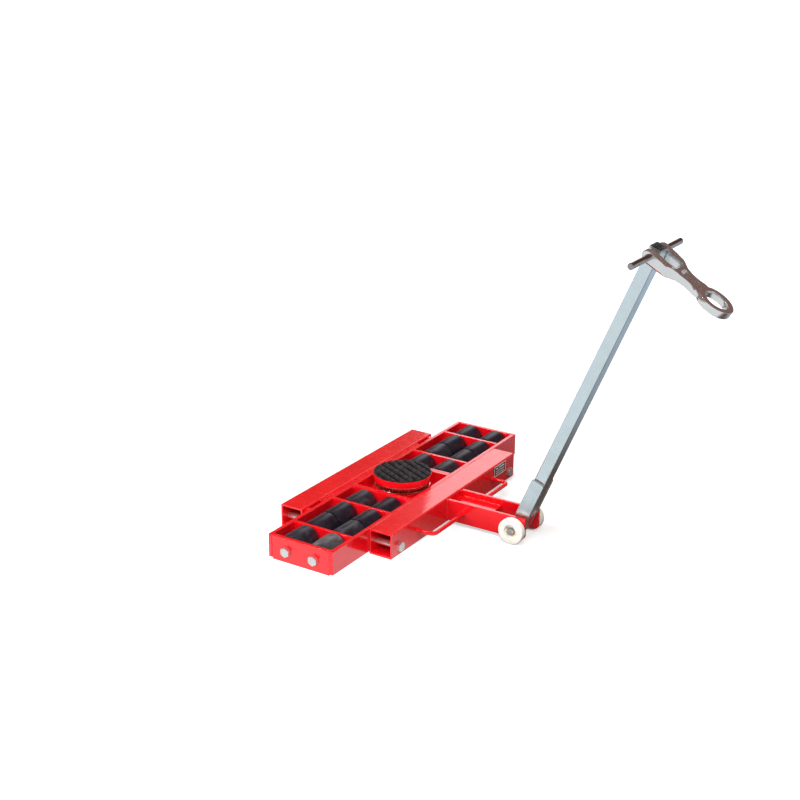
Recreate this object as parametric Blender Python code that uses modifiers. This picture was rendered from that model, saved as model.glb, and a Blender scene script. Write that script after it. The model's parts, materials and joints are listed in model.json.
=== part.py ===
"""Steerable machine skate: a cassette of sixteen rollers under a ball-bearing turntable, with a tilting drawbar.

Metres, +Z up, +X towards the front, +Y to the skate's left. The origin is on the floor under the middle of the
whole object's outline. The pieces are laid out from the turntable's axis, and skate_frame carries them there.
Blender 4.5: blender --background --python part.py
"""

import math

import bmesh
import bpy
from mathutils import Matrix, Vector

# ---------------------------------------------------------------- driving dimensions
GAP = 0.0003  # left between pieces that touch or are welded
CLEAR = 0.0003  # radial clearance of a pin in its hole

# cassette
CASSETTE_WIDTH = 0.212
CASSETTE_LENGTH = 1.014
FRAME_TOP = 0.078
SIDE_BOTTOM = 0.010
END_BOTTOM = 0.006
DIVIDER_BOTTOM = 0.012
PLATE = 0.012
DIVIDER = 0.010
TURNTABLE_BAY = 0.199  # clear length of the bay between its walls
INNER_BAY = 0.091  # bay with one roller beside the turntable
PAIR_BAY = 0.176  # bay with two rollers end to end

# rollers and axles
ROLLER_RADIUS = 0.040
ROLLER_LENGTH = 0.085
ROLLER_CHAMFER = 0.004
ROW_SPACING = 0.0908  # between the front and the rear row of axles
AXLE_RADIUS = 0.010
BOLT_FLATS = 0.028
BOLT_HEAD = 0.0105
SEAM = 0.0012  # groove where a bay wall's two plates meet

# turntable
DISC_RADIUS = 0.0864
DISC_BOTTOM = 0.0841
DISC_TOP = 0.1035
PAD_RADIUS = 0.0850
PAD_BOTTOM = 0.0990
PAD_TOP = 0.1070
SPIGOT_RADIUS = 0.015
SPIGOT_BOTTOM = 0.0215
COLLAR_RADIUS = 0.025
COLLAR = (0.0215, 0.0335)
RACE_OUTER = 0.0830
RACE_INNER = 0.0560
LOWER_RACE = (0.0603, 0.0690)
UPPER_RACE = (0.0760, 0.0838)
TRACK_RADIUS = 0.0700
TRACK_WIDTH = 0.0114
TRACK_DEPTH = 0.0024
BALL_RADIUS = 0.0054
BALL_COUNT = 16
CAGE = (0.0620, 0.0806)
CAGE_HALF = 0.0018
SEAT_RADIUS = 0.0790
SEAT_TOP = 0.0600
GREASE_HOLE = 0.004  # radius, up the middle of the spigot
BASE = (0.034, 0.046)

# square tubes that take the coupling bars
TUBE_WIDTH = 0.074
TUBE_BOTTOM = 0.005
TUBE_TOP = 0.080
TUBE_WALL = 0.0055
TUBE_LENGTH = 0.693
TUBE_SHIFT = 0.010  # the tubes sit this far left of the turntable's axis
REAR_TUBE_GAP = 0.012
PACKER = (0.014, 0.074, 0.0765)  # bottom, top of the middle and top of the tabs
PACKER_MIDDLE = 0.526
TAB_INSET = 0.014
TAB_WIDTH = 0.014
NOTCH_FLOOR = 0.024
PIN_INSET = 0.036
PIN_HEIGHT = 0.033

# arms, support wheels and lifting handles
ARM_END = 0.4295
ARM_BOTTOM = 0.012
ARM_TOP = 0.0755
ARM_OUTER = 0.046
ARM_PLATE = 0.010
ARM_FOOT = 0.012  # corner radius at the lower front
ARM_CROWN = 0.002
WEB_PLATE = (0.049, 0.058)
WEB_PLATE_END = 0.312
PIVOT_X = 0.3955
WHEEL_RADIUS = 0.038
WHEEL_WIDTH = 0.020
WHEEL_INNER = 0.0475
WHEEL_EDGE = 0.0025
HUB_RECESS_RADIUS = 0.0195
HUB_RECESS_DEPTH = 0.007
PIVOT_RADIUS = 0.009
PIVOT_REACH = 0.0725
SPLIT_PIN_RADIUS = 0.0018
SPLIT_PIN_REACH = 0.0155
SPLIT_PIN_TILT = math.radians(42)
SPLIT_PIN_Y = 0.0655
HANDLE_RADIUS = 0.006
HANDLE_BEND = 0.016
HANDLE_X = 0.2325
HANDLE_Y = 0.2125
HANDLE_SHIFT = 0.008
HANDLE_Z = 0.0425
DATA_PLATE_Y = (0.229, 0.303)
DATA_PLATE_Z = (0.043, 0.0775)
DATA_PLATE_THICK = 0.001

# drawbar
DRAWBAR_ANGLE = math.radians(67.6)  # above the floor, as parked
BAR_WIDTH = 0.050
BAR_DEPTH = 0.034
BAR_OFFSET = 0.0015  # the bar's middle stands this far forward of the pivot
BAR_WALL = 0.003
BAR_FOOT = -0.015
BAR_LENGTH = 0.913
CHEEK_HALF = 0.0195
CHEEK_THICK = 0.006
CHEEK_TOP = 0.161
CHEEK_CORNER = 0.003
TBAR_RADIUS = 0.009
TBAR_HALF = 0.158
TBAR_ALONG = 0.894
TBAR_FORWARD = 0.003

# towing eye
EYE_ANGLE = math.radians(32.5)  # below the horizontal, as parked
FORK_OUTER = 0.047
FORK_INNER = 0.032
FORK_RADIUS = 0.0205
FORK_ROOT = 0.068
SLOT_RADIUS = 0.014  # in the corners of the fork's slot
FORK_TAPER = ((0.050, FORK_RADIUS), (0.066, 0.0170), (0.080, 0.0120))  # along, half depth
WAIST = ((0.052, FORK_OUTER), (0.068, 0.0400), (0.084, 0.0310), (0.104, 0.0265), (0.124, 0.0265), (0.140, 0.0300))
NECK_START = 0.092
POCKET = (0.078, 0.130, 0.016)  # along from, along to, half width
POCKET_WEB = 0.005  # half of what is left between the two pockets
RING_ALONG = 0.190
RING_RADIUS = 0.049
RING_BORE = 0.0326
NECK_HALF = 0.010

# facets of the round pieces
ROLLER_SIDES = 20
WHEEL_SIDES = 24
HOLE_SIDES = 16
PIN_SIDES = 8

# ---------------------------------------------------------------- derived positions
HALF_WIDTH = CASSETTE_WIDTH / 2
HALF_LENGTH = CASSETTE_LENGTH / 2
INSIDE_X = HALF_WIDTH - PLATE - GAP
END_INSIDE = HALF_LENGTH - PLATE
BAY_WALL = TURNTABLE_BAY / 2
BAY_OUTER = BAY_WALL + 2 * DIVIDER
INNER_DIVIDER = BAY_OUTER + INNER_BAY
OUTER_DIVIDER = INNER_DIVIDER + DIVIDER + PAIR_BAY
ROW_X = {"front": ROW_SPACING / 2, "rear": -ROW_SPACING / 2}
PAIR_MIDDLE = INNER_DIVIDER + DIVIDER + PAIR_BAY / 2
PAIR_STEP = ROLLER_LENGTH / 2 + 0.001
ROLLER_Y = (
    BAY_OUTER + INNER_BAY / 2,
    PAIR_MIDDLE - PAIR_STEP,
    PAIR_MIDDLE + PAIR_STEP,
    (OUTER_DIVIDER + DIVIDER + END_INSIDE) / 2,
)
TUBE_ENDS = (TUBE_SHIFT - TUBE_LENGTH / 2, TUBE_SHIFT + TUBE_LENGTH / 2)
PIN_Y = (TUBE_ENDS[0] + PIN_INSET, TUBE_ENDS[1] - PIN_INSET)
FRONT_TUBE_X = (HALF_WIDTH + GAP, HALF_WIDTH + GAP + TUBE_WIDTH)
REAR_TUBE_X = (-HALF_WIDTH - REAR_TUBE_GAP - TUBE_WIDTH, -HALF_WIDTH - REAR_TUBE_GAP)
PIVOT = Vector((PIVOT_X, 0, WHEEL_RADIUS))
SIDES = {"right": -1, "left": 1}
TBAR_X = PIVOT_X + TBAR_ALONG * math.cos(DRAWBAR_ANGLE) + TBAR_FORWARD * math.sin(DRAWBAR_ANGLE)
RING_TIP = (RING_ALONG + RING_RADIUS) * math.cos(EYE_ANGLE) + NECK_HALF * math.sin(EYE_ANGLE)
REAR_END = REAR_TUBE_X[0] - GAP - BOLT_HEAD
MIDDLE_X = (REAR_END + TBAR_X + RING_TIP) / 2  # of the whole object's outline, from the turntable's axis

# ---------------------------------------------------------------- scene, collections and materials
for old in list(bpy.data.objects):
    bpy.data.objects.remove(old)

model = bpy.data.collections.new("machine_skate")
cutters = bpy.data.collections.new("cutters")
for collection in (model, cutters):
    bpy.context.scene.collection.children.link(collection)

skate_frame = bpy.data.objects.new("skate_frame", None)
skate_frame.location = (-MIDDLE_X, 0, 0)
model.objects.link(skate_frame)


def material(name, colour, roughness, metallic=0.0):
    made = bpy.data.materials.new(name)
    made.use_nodes = True
    shader = made.node_tree.nodes["Principled BSDF"]
    shader.inputs["Base Color"].default_value = (*colour, 1)
    shader.inputs["Roughness"].default_value = roughness
    shader.inputs["Metallic"].default_value = metallic
    made.diffuse_color = (*colour, 1)
    return made


RED = material("red_paint", (0.80, 0.008, 0.012), 0.25)
ROLLER = material("roller_nylon", (0.055, 0.052, 0.068), 0.38)
RUBBER = material("pad_rubber", (0.018, 0.018, 0.018), 0.75)
STEEL = material("bright_steel", (0.62, 0.62, 0.60), 0.25, 1.0)
BRONZE = material("bearing_bronze", (0.55, 0.36, 0.18), 0.35, 1.0)
ZINC = material("zinc_plate", (0.62, 0.68, 0.72), 0.32, 1.0)
YELLOW_ZINC = material("yellow_zinc", (0.70, 0.48, 0.16), 0.35, 1.0)
WHEEL = material("white_nylon", (0.86, 0.87, 0.83), 0.45)
PLATE_FINISH = material("data_plate", (0.55, 0.55, 0.56), 0.35, 1.0)


# ---------------------------------------------------------------- modelling helpers
def place(name, data, finish, matrix=None, parent=skate_frame, collection=model):
    """Links an object that holds data, with its local place in matrix."""
    obj = bpy.data.objects.new(name, data)
    collection.objects.link(obj)
    obj.parent = parent
    if matrix:
        obj.matrix_basis = matrix
    if finish:
        data.materials.append(finish)
    if collection is cutters:
        obj.hide_render = True
        obj.display_type = "WIRE"
    return obj


def pivot_empty(name, location, turn, parent=skate_frame):
    """An empty on a joint's axis, turned about Y. What it carries is modelled in its frame."""
    empty = bpy.data.objects.new(name, None)
    empty.empty_display_size = 0.03
    model.objects.link(empty)
    empty.parent = parent
    empty.matrix_basis = Matrix.Translation(location) @ Matrix.Rotation(turn, 4, "Y")
    return empty


def mesh_from(name, bm):
    mesh = bpy.data.meshes.new(name)
    bm.to_mesh(mesh)
    bm.free()
    return mesh


def shade_round(mesh):
    mesh.shade_smooth()
    mesh.set_sharp_from_angle(angle=math.radians(35))


def box_bmesh(bm, low, high):
    size = [b - a for a, b in zip(low, high)]
    middle = [(a + b) / 2 for a, b in zip(low, high)]
    bmesh.ops.create_cube(bm, size=1, matrix=Matrix.Translation(middle) @ Matrix.Diagonal((*size, 1)))


def box(name, low, high, finish, bevel=0.0, **where):
    """A block between two corners, with its edges broken by bevel."""
    bm = bmesh.new()
    box_bmesh(bm, low, high)
    obj = place(name, mesh_from(name, bm), finish, **where)
    if bevel:
        edge = obj.modifiers.new("Bevel", "BEVEL")
        edge.width = bevel
        edge.segments = 1
    return obj


AXIS_TURN = {
    "X": Matrix.Rotation(math.pi / 2, 4, "Y"),
    "Y": Matrix.Rotation(-math.pi / 2, 4, "X"),
    "Z": Matrix.Identity(4),
}


def rod_bmesh(bm, radius, start, end, axis="Z", sides=HOLE_SIDES):
    """A cylinder along an axis, from start to end, with a flat side facing down."""
    start, end = Vector(start), Vector(end)
    half_side = Matrix.Rotation(math.pi / sides, 4, "Z")
    turn = Matrix.Translation((start + end) / 2) @ AXIS_TURN[axis] @ half_side
    length = (end - start).length
    bmesh.ops.create_cone(
        bm, cap_ends=True, segments=sides, radius1=radius, radius2=radius, depth=length, matrix=turn
    )


def rod(name, radius, start, end, finish, axis="Z", sides=HOLE_SIDES, **where):
    bm = bmesh.new()
    rod_bmesh(bm, radius, start, end, axis, sides)
    mesh = mesh_from(name, bm)
    shade_round(mesh)
    return place(name, mesh, finish, **where)


def turned(name, profile, finish, sides=WHEEL_SIDES, matrix=None, **where):
    """A closed profile of (radius, height) turned about Z."""
    bm = bmesh.new()
    start = Matrix.Rotation(math.pi / sides, 3, "Z")
    corners = [bm.verts.new(start @ Vector((radius, 0, height))) for radius, height in profile]
    edges = [bm.edges.new((corners[i - 1], corner)) for i, corner in enumerate(corners)]
    bmesh.ops.spin(
        bm, geom=corners + edges, cent=(0, 0, 0), axis=(0, 0, 1), angle=2 * math.pi, steps=sides, use_merge=True
    )
    bmesh.ops.remove_doubles(bm, verts=bm.verts, dist=0.0001)
    on_axis = [edge for edge in bm.edges if not edge.link_faces]
    bmesh.ops.delete(bm, geom=on_axis, context="EDGES")
    bmesh.ops.recalc_face_normals(bm, faces=bm.faces)
    mesh = mesh_from(name, bm)
    shade_round(mesh)
    return place(name, mesh, finish, matrix, **where)


def ring_profile(outer, inner, low, high):
    return [(outer, high), (outer, low), (inner, low), (inner, high)]


def cut(obj, cutter, operation="DIFFERENCE"):
    step = obj.modifiers.new("Boolean", "BOOLEAN")
    step.operation = operation
    step.object = cutter
    step.solver = "EXACT"
    return obj


def cut_box(obj, name, low, high, **where):
    return cut(obj, box(name, low, high, None, collection=cutters, **where))


def cut_rod(obj, name, radius, start, end, axis, sides=HOLE_SIDES, **where):
    return cut(obj, rod(name, radius, start, end, None, axis, sides, collection=cutters, **where))


def arc(centre, radius, start, end, steps):
    """Points on an arc in a plane, angles in degrees."""
    angles = [math.radians(start + (end - start) * i / steps) for i in range(steps + 1)]
    return [(centre[0] + radius * math.cos(a), centre[1] + radius * math.sin(a)) for a in angles]


STAND_UP = Matrix.Rotation(math.pi / 2, 4, "X")  # a flat outline's Y becomes Z, and its Z becomes -Y


def outline_curve(name, loops, thickness):
    """A flat plate from closed loops of points. Loops inside the first are holes."""
    curve = bpy.data.curves.new(name, "CURVE")
    curve.dimensions = "2D"
    curve.fill_mode = "BOTH"
    curve.extrude = thickness / 2
    for loop in loops:
        spline = curve.splines.new("POLY")
        spline.points.add(len(loop) - 1)
        for point, (x, y) in zip(spline.points, loop):
            point.co = (x, y, 0, 1)
        spline.use_cyclic_u = True
    return curve


def upright_plate(name, loops, y_low, y_high, finish, **where):
    """A plate with its outline in the XZ plane, between two values of Y."""
    matrix = Matrix.Translation((0, (y_low + y_high) / 2, 0)) @ STAND_UP
    return place(name, outline_curve(name, loops, y_high - y_low), finish, matrix, **where)


def curve_to_mesh(obj, welded=0.00002):
    """The same shape as a closed mesh, which a Boolean can take."""
    bpy.context.view_layer.update()
    graph = bpy.context.evaluated_depsgraph_get()
    mesh = bpy.data.meshes.new_from_object(obj.evaluated_get(graph))
    bm = bmesh.new()
    bm.from_mesh(mesh)
    bmesh.ops.remove_doubles(bm, verts=bm.verts, dist=welded)
    bmesh.ops.recalc_face_normals(bm, faces=bm.faces)
    bm.to_mesh(mesh)
    bm.free()
    name, matrix, parent, collection = obj.name, obj.matrix_basis.copy(), obj.parent, obj.users_collection[0]
    bpy.data.objects.remove(obj)
    return place(name, mesh, None, matrix, parent=parent, collection=collection)


def bent_bar(name, points, radius, finish, **where):
    """A round bar that follows points, closed at both ends."""
    curve = bpy.data.curves.new(name, "CURVE")
    curve.dimensions = "3D"
    curve.bevel_depth = radius
    curve.bevel_resolution = 2
    curve.use_fill_caps = True
    spline = curve.splines.new("POLY")
    spline.points.add(len(points) - 1)
    for point, place_at in zip(spline.points, points):
        point.co = (*place_at, 1)
    return place(name, curve, finish, **where)


def hex_bolt(name, radius, head_at, tip_at, finish, axis):
    """A bolt with a hexagon head outside head_at and a plain shank to tip_at."""
    head_at, tip_at = Vector(head_at), Vector(tip_at)
    outward = (head_at - tip_at).normalized()
    overlap = 0.002
    shank = bmesh.new()
    rod_bmesh(shank, radius, tip_at, head_at + outward * overlap, axis)
    bolt = place(name, mesh_from(name, shank), finish)
    corner_radius = BOLT_FLATS / math.sqrt(3)
    tip_of_head = head_at + outward * BOLT_HEAD
    head = rod(name + "_head", corner_radius, head_at, tip_of_head, None, axis, 6, collection=cutters)
    return cut(bolt, head, "UNION")


# ---------------------------------------------------------------- cassette frame
def cassette_plates():
    for row, sign in (("front", 1), ("rear", -1)):
        low_x, high_x = sorted((sign * HALF_WIDTH, sign * (HALF_WIDTH - PLATE)))
        low, high = (low_x, -HALF_LENGTH, SIDE_BOTTOM), (high_x, HALF_LENGTH, FRAME_TOP)
        box(f"side_plate_{row}", low, high, RED, 0.001)


def cross_plate(name, sign, near, far, bottom, bore_from=0.0):
    """A plate across the cassette, between near and far from the middle, bored for both axles."""
    low_y, high_y = sorted((sign * near, sign * far))
    plate = box(name, (-INSIDE_X, low_y, bottom), (INSIDE_X, high_y, FRAME_TOP), RED)
    bore_start = sign * max(near - 0.01, bore_from)
    bore_end = sign * (far + 0.01)
    for row, x in ROW_X.items():
        start, end = (x, bore_start, ROLLER_RADIUS), (x, bore_end, ROLLER_RADIUS)
        cut_rod(plate, f"{name}_bore_{row}", AXLE_RADIUS + CLEAR, start, end, "Y")
    return plate


def cross_plates():
    for side, sign in SIDES.items():
        cross_plate(f"end_plate_{side}", sign, END_INSIDE, HALF_LENGTH, END_BOTTOM)
        cross_plate(f"outer_divider_{side}", sign, OUTER_DIVIDER, OUTER_DIVIDER + DIVIDER, DIVIDER_BOTTOM)
        cross_plate(f"inner_divider_{side}", sign, INNER_DIVIDER, INNER_DIVIDER + DIVIDER, DIVIDER_BOTTOM)
        wall = cross_plate(f"bay_wall_{side}", sign, BAY_WALL, BAY_OUTER, DIVIDER_BOTTOM, BAY_WALL + DIVIDER)
        seam_y = sign * (BAY_WALL + DIVIDER)
        seam_low, seam_high = (-0.2, seam_y - SEAM / 2, FRAME_TOP - SEAM), (0.2, seam_y + SEAM / 2, 0.1)
        cut_box(wall, f"bay_wall_seam_{side}", seam_low, seam_high)


def axles_and_rollers():
    tip = BAY_WALL + DIVIDER + GAP
    bore = AXLE_RADIUS + CLEAR
    flat_radius = ROLLER_RADIUS / math.cos(math.pi / ROLLER_SIDES)  # so that a flat side touches the floor
    half = ROLLER_LENGTH / 2
    rim = flat_radius - ROLLER_CHAMFER
    profile = [
        (rim, half), (flat_radius, half - ROLLER_CHAMFER), (flat_radius, ROLLER_CHAMFER - half),
        (rim, -half), (bore, -half), (bore, half),
    ]
    for side, sign in SIDES.items():
        for row, x in ROW_X.items():
            head_at, tip_at = (x, sign * (HALF_LENGTH + GAP), ROLLER_RADIUS), (x, sign * tip, ROLLER_RADIUS)
            hex_bolt(f"axle_{row}_{side}", AXLE_RADIUS, head_at, tip_at, STEEL, "Y")
            for number, y in enumerate(ROLLER_Y, 1):
                on_axle = Matrix.Translation((x, sign * y, ROLLER_RADIUS)) @ AXIS_TURN["Y"]
                turned(f"roller_{row}_{side}_{number}", profile, ROLLER, ROLLER_SIDES, on_axle)


# ---------------------------------------------------------------- turntable
def turntable():
    base_half = BAY_WALL - GAP
    base = box("turntable_base", (-INSIDE_X, -base_half, BASE[0]), (INSIDE_X, base_half, BASE[1]), RED)
    inside_base = (BASE[0] + BASE[1]) / 2
    seat_start, seat_end = (0, 0, inside_base), (0, 0, SEAT_TOP)
    seat = rod("seat_boss", SEAT_RADIUS, seat_start, seat_end, None, sides=WHEEL_SIDES, collection=cutters)
    cut(base, seat, "UNION")
    cut_rod(base, "spigot_bore", SPIGOT_RADIUS + CLEAR, (0, 0, 0), (0, 0, 0.1), "Z")

    half_track = TRACK_WIDTH / 2
    inner, outer = TRACK_RADIUS - half_track, TRACK_RADIUS + half_track
    low, high = LOWER_RACE
    turned("lower_race", [
        (RACE_OUTER, high), (RACE_OUTER, low), (RACE_INNER, low), (RACE_INNER, high),
        (inner, high), (inner, high - TRACK_DEPTH), (outer, high - TRACK_DEPTH), (outer, high),
    ], STEEL)
    low, high = UPPER_RACE
    turned("upper_race", [
        (RACE_OUTER, high), (RACE_OUTER, low), (outer, low), (outer, low + TRACK_DEPTH),
        (inner, low + TRACK_DEPTH), (inner, low), (RACE_INNER, low), (RACE_INNER, high),
    ], STEEL)

    middle = (LOWER_RACE[1] + UPPER_RACE[0]) / 2
    cage_profile = ring_profile(CAGE[1], CAGE[0], middle - CAGE_HALF, middle + CAGE_HALF)
    cage = turned("ball_cage", cage_profile, BRONZE)
    balls = bmesh.new()
    for number in range(BALL_COUNT):
        angle = 2 * math.pi * number / BALL_COUNT
        at = (TRACK_RADIUS * math.cos(angle), TRACK_RADIUS * math.sin(angle), middle)
        bmesh.ops.create_uvsphere(
            balls, u_segments=8, v_segments=5, radius=BALL_RADIUS, matrix=Matrix.Translation(at)
        )
    cut(cage, place("thrust_balls", mesh_from("thrust_balls", balls), None, collection=cutters), "UNION")

    pad_seat = PAD_BOTTOM - GAP
    turned("turntable_disc", [
        (PAD_RADIUS + GAP, DISC_TOP), (DISC_RADIUS, DISC_TOP), (DISC_RADIUS, DISC_BOTTOM),
        (SPIGOT_RADIUS, DISC_BOTTOM), (SPIGOT_RADIUS, SPIGOT_BOTTOM), (GREASE_HOLE, SPIGOT_BOTTOM),
        (GREASE_HOLE, pad_seat), (PAD_RADIUS + GAP, pad_seat),
    ], RED)
    turned("load_pad", [(PAD_RADIUS, PAD_TOP), (PAD_RADIUS, PAD_BOTTOM), (0, PAD_BOTTOM), (0, PAD_TOP)], RUBBER)
    turned("spigot_collar", ring_profile(COLLAR_RADIUS, SPIGOT_RADIUS + GAP, *COLLAR), STEEL)


# ---------------------------------------------------------------- tubes, pins and filler
def square_tube(name, x_range):
    low, high = (x_range[0], TUBE_ENDS[0], TUBE_BOTTOM), (x_range[1], TUBE_ENDS[1], TUBE_TOP)
    tube = box(name, low, high, RED, 0.0015)
    inside_low = (low[0] + TUBE_WALL, low[1] - 0.01, low[2] + TUBE_WALL)
    inside_high = (high[0] - TUBE_WALL, high[1] + 0.01, high[2] - TUBE_WALL)
    cut_box(tube, name + "_inside", inside_low, inside_high)
    for side, y in zip(SIDES, PIN_Y):
        start, end = (low[0] - 0.01, y, PIN_HEIGHT), (high[0] + 0.01, y, PIN_HEIGHT)
        cut_rod(tube, f"{name}_pin_bore_{side}", AXLE_RADIUS + CLEAR, start, end, "X")


def tubes():
    square_tube("front_tube", FRONT_TUBE_X)
    square_tube("rear_tube", REAR_TUBE_X)
    for side, y in zip(SIDES, PIN_Y):
        front_in, front_out = (FRONT_TUBE_X[0] + GAP, y, PIN_HEIGHT), (FRONT_TUBE_X[1] + GAP, y, PIN_HEIGHT)
        hex_bolt(f"coupling_pin_front_{side}", AXLE_RADIUS, front_out, front_in, STEEL, "X")
        rear_in, rear_out = (REAR_TUBE_X[1] - GAP, y, PIN_HEIGHT), (REAR_TUBE_X[0] - GAP, y, PIN_HEIGHT)
        hex_bolt(f"coupling_pin_rear_{side}", AXLE_RADIUS, rear_out, rear_in, STEEL, "X")
    rear_packer()


def rear_packer():
    """The bar between the rear tube and the side plate. Its ends stand up as tabs past two open notches."""
    low_x, high_x = -HALF_WIDTH - REAR_TUBE_GAP + GAP, -HALF_WIDTH - GAP
    low_y, high_y = TUBE_ENDS[0] + TAB_INSET, TUBE_ENDS[1] - TAB_INSET
    packer = box("rear_packer", (low_x, low_y, PACKER[0]), (high_x, high_y, PACKER[2]), RED)
    middle_start, middle_end = TUBE_SHIFT - PACKER_MIDDLE / 2, TUBE_SHIFT + PACKER_MIDDLE / 2
    spans = {
        "right": (low_y + TAB_WIDTH, middle_start, NOTCH_FLOOR),
        "middle": (middle_start - 0.001, middle_end + 0.001, PACKER[1]),
        "left": (middle_end, high_y - TAB_WIDTH, NOTCH_FLOOR),
    }
    for name, (start, end, floor) in spans.items():
        cut_box(packer, f"packer_notch_{name}", (low_x - 0.01, start, floor), (high_x + 0.01, end, 0.1))


# ---------------------------------------------------------------- arms, support wheels and handles
def arms():
    start = FRONT_TUBE_X[1] + GAP
    outline = [(start, ARM_TOP), (start, ARM_BOTTOM)]
    outline += arc((ARM_END - ARM_FOOT, ARM_BOTTOM + ARM_FOOT), ARM_FOOT, -90, 0, 4)
    outline += arc((ARM_END - ARM_CROWN, ARM_TOP - ARM_CROWN), ARM_CROWN, 0, 90, 1)
    hole = arc((PIVOT.x, PIVOT.z), PIVOT_RADIUS + CLEAR, 0, 360 - 360 / HOLE_SIDES, HOLE_SIDES - 1)
    for side, sign in SIDES.items():
        low_y, high_y = sorted((sign * ARM_OUTER, sign * (ARM_OUTER - ARM_PLATE)))
        upright_plate(f"arm_{side}", [outline, hole], low_y, high_y, RED)
    between = ARM_OUTER - ARM_PLATE - GAP
    low, high = (start, -between, WEB_PLATE[0]), (WEB_PLATE_END, between, WEB_PLATE[1])
    box("arm_web_plate", low, high, RED, 0.001)


def pivot_axle():
    start, end = (PIVOT.x, -PIVOT_REACH, PIVOT.z), (PIVOT.x, PIVOT_REACH, PIVOT.z)
    axle = rod("pivot_axle", PIVOT_RADIUS, start, end, STEEL, "Y")
    lean = Vector((math.cos(SPLIT_PIN_TILT), 0, -math.sin(SPLIT_PIN_TILT)))
    reach = lean * SPLIT_PIN_REACH
    for side, sign in SIDES.items():
        middle = Vector((PIVOT.x, sign * SPLIT_PIN_Y, PIVOT.z))
        split_pin = leaning_rod(f"split_pin_{side}", SPLIT_PIN_RADIUS, middle - reach, middle + reach)
        place(f"split_pin_{side}", split_pin, YELLOW_ZINC)
        drill = leaning_rod(f"split_pin_hole_{side}", SPLIT_PIN_RADIUS + CLEAR, middle - reach * 2, middle + reach * 2)
        cut(axle, place(f"split_pin_hole_{side}", drill, None, collection=cutters))


def leaning_rod(name, radius, start, end):
    """The mesh of a thin round rod between two points."""
    bm = bmesh.new()
    way = end - start
    matrix = Matrix.Translation((start + end) / 2) @ way.to_track_quat("Z", "Y").to_matrix().to_4x4()
    bmesh.ops.create_cone(
        bm, cap_ends=True, segments=PIN_SIDES, radius1=radius, radius2=radius, depth=way.length, matrix=matrix
    )
    mesh = mesh_from(name, bm)
    shade_round(mesh)
    return mesh


def support_wheels():
    bore = PIVOT_RADIUS + CLEAR
    flat_radius = WHEEL_RADIUS / math.cos(math.pi / WHEEL_SIDES)
    outer, recess = WHEEL_WIDTH, WHEEL_WIDTH - HUB_RECESS_DEPTH
    profile = [
        (HUB_RECESS_RADIUS, outer), (flat_radius - WHEEL_EDGE, outer), (flat_radius, outer - WHEEL_EDGE),
        (flat_radius, WHEEL_EDGE), (flat_radius - WHEEL_EDGE, 0), (bore, 0), (bore, recess),
        (HUB_RECESS_RADIUS, recess),
    ]
    for side, sign in SIDES.items():
        face_out = Matrix.Rotation(-sign * math.pi / 2, 4, "X")
        at = Matrix.Translation((PIVOT.x, sign * WHEEL_INNER, PIVOT.z)) @ face_out
        turned(f"support_wheel_{side}", profile, WHEEL, WHEEL_SIDES, at)


def handles():
    start = FRONT_TUBE_X[1] + GAP
    for side, sign in SIDES.items():
        leg_y = sign * HANDLE_Y + HANDLE_SHIFT
        centre = (HANDLE_X - HANDLE_BEND, leg_y - sign * HANDLE_BEND)
        bend = arc(centre, HANDLE_BEND, 90 * sign, 0, 5)
        end_y = sign * (ARM_OUTER + GAP)
        points = [(start, leg_y, HANDLE_Z)]
        points += [(x, y, HANDLE_Z) for x, y in bend]
        points += [(HANDLE_X, end_y, HANDLE_Z)]
        bent_bar(f"handle_{side}", points, HANDLE_RADIUS, RED)
    face = FRONT_TUBE_X[1] + GAP
    low = (face, DATA_PLATE_Y[0], DATA_PLATE_Z[0])
    high = (face + DATA_PLATE_THICK, DATA_PLATE_Y[1], DATA_PLATE_Z[1])
    box("data_plate", low, high, PLATE_FINISH)


# ---------------------------------------------------------------- drawbar
def drawbar():
    frame = pivot_empty("drawbar_pivot", PIVOT, math.pi / 2 - DRAWBAR_ANGLE)
    back, front = BAR_OFFSET - BAR_DEPTH / 2, BAR_OFFSET + BAR_DEPTH / 2
    half = BAR_WIDTH / 2
    bar = box("drawbar_tube", (back, -half, BAR_FOOT), (front, half, BAR_LENGTH), ZINC, 0.0015, parent=frame)
    inside_low = (back + BAR_WALL, BAR_WALL - half, BAR_FOOT - 0.01)
    inside_high = (front - BAR_WALL, half - BAR_WALL, BAR_LENGTH + 0.01)
    cut_box(bar, "drawbar_inside", inside_low, inside_high, parent=frame)
    cut_rod(bar, "drawbar_pivot_bore", PIVOT_RADIUS + CLEAR, (0, -0.04, 0), (0, 0.04, 0), "Y", parent=frame)
    start, end = (TBAR_FORWARD, -0.04, TBAR_ALONG), (TBAR_FORWARD, 0.04, TBAR_ALONG)
    cut_rod(bar, "drawbar_tbar_bore", TBAR_RADIUS + CLEAR, start, end, "Y", parent=frame)
    outline = arc((CHEEK_HALF - CHEEK_CORNER, CHEEK_TOP - CHEEK_CORNER), CHEEK_CORNER, 0, 90, 1)
    outline += arc((CHEEK_CORNER - CHEEK_HALF, CHEEK_TOP - CHEEK_CORNER), CHEEK_CORNER, 90, 180, 1)
    outline += arc((0, 0), CHEEK_HALF, 180, 360, 8)
    hole = arc((0, 0), PIVOT_RADIUS + CLEAR, 0, 360 - 360 / HOLE_SIDES, HOLE_SIDES - 1)
    for side, sign in SIDES.items():
        low_y, high_y = sorted((sign * (half + GAP), sign * (half + GAP + CHEEK_THICK)))
        upright_plate(f"drawbar_cheek_{side}", [outline, hole], low_y, high_y, ZINC, parent=frame)
    start, end = (TBAR_FORWARD, -TBAR_HALF, TBAR_ALONG), (TBAR_FORWARD, TBAR_HALF, TBAR_ALONG)
    rod("t_bar", TBAR_RADIUS, start, end, STEEL, "Y", parent=frame)
    return frame


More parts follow.
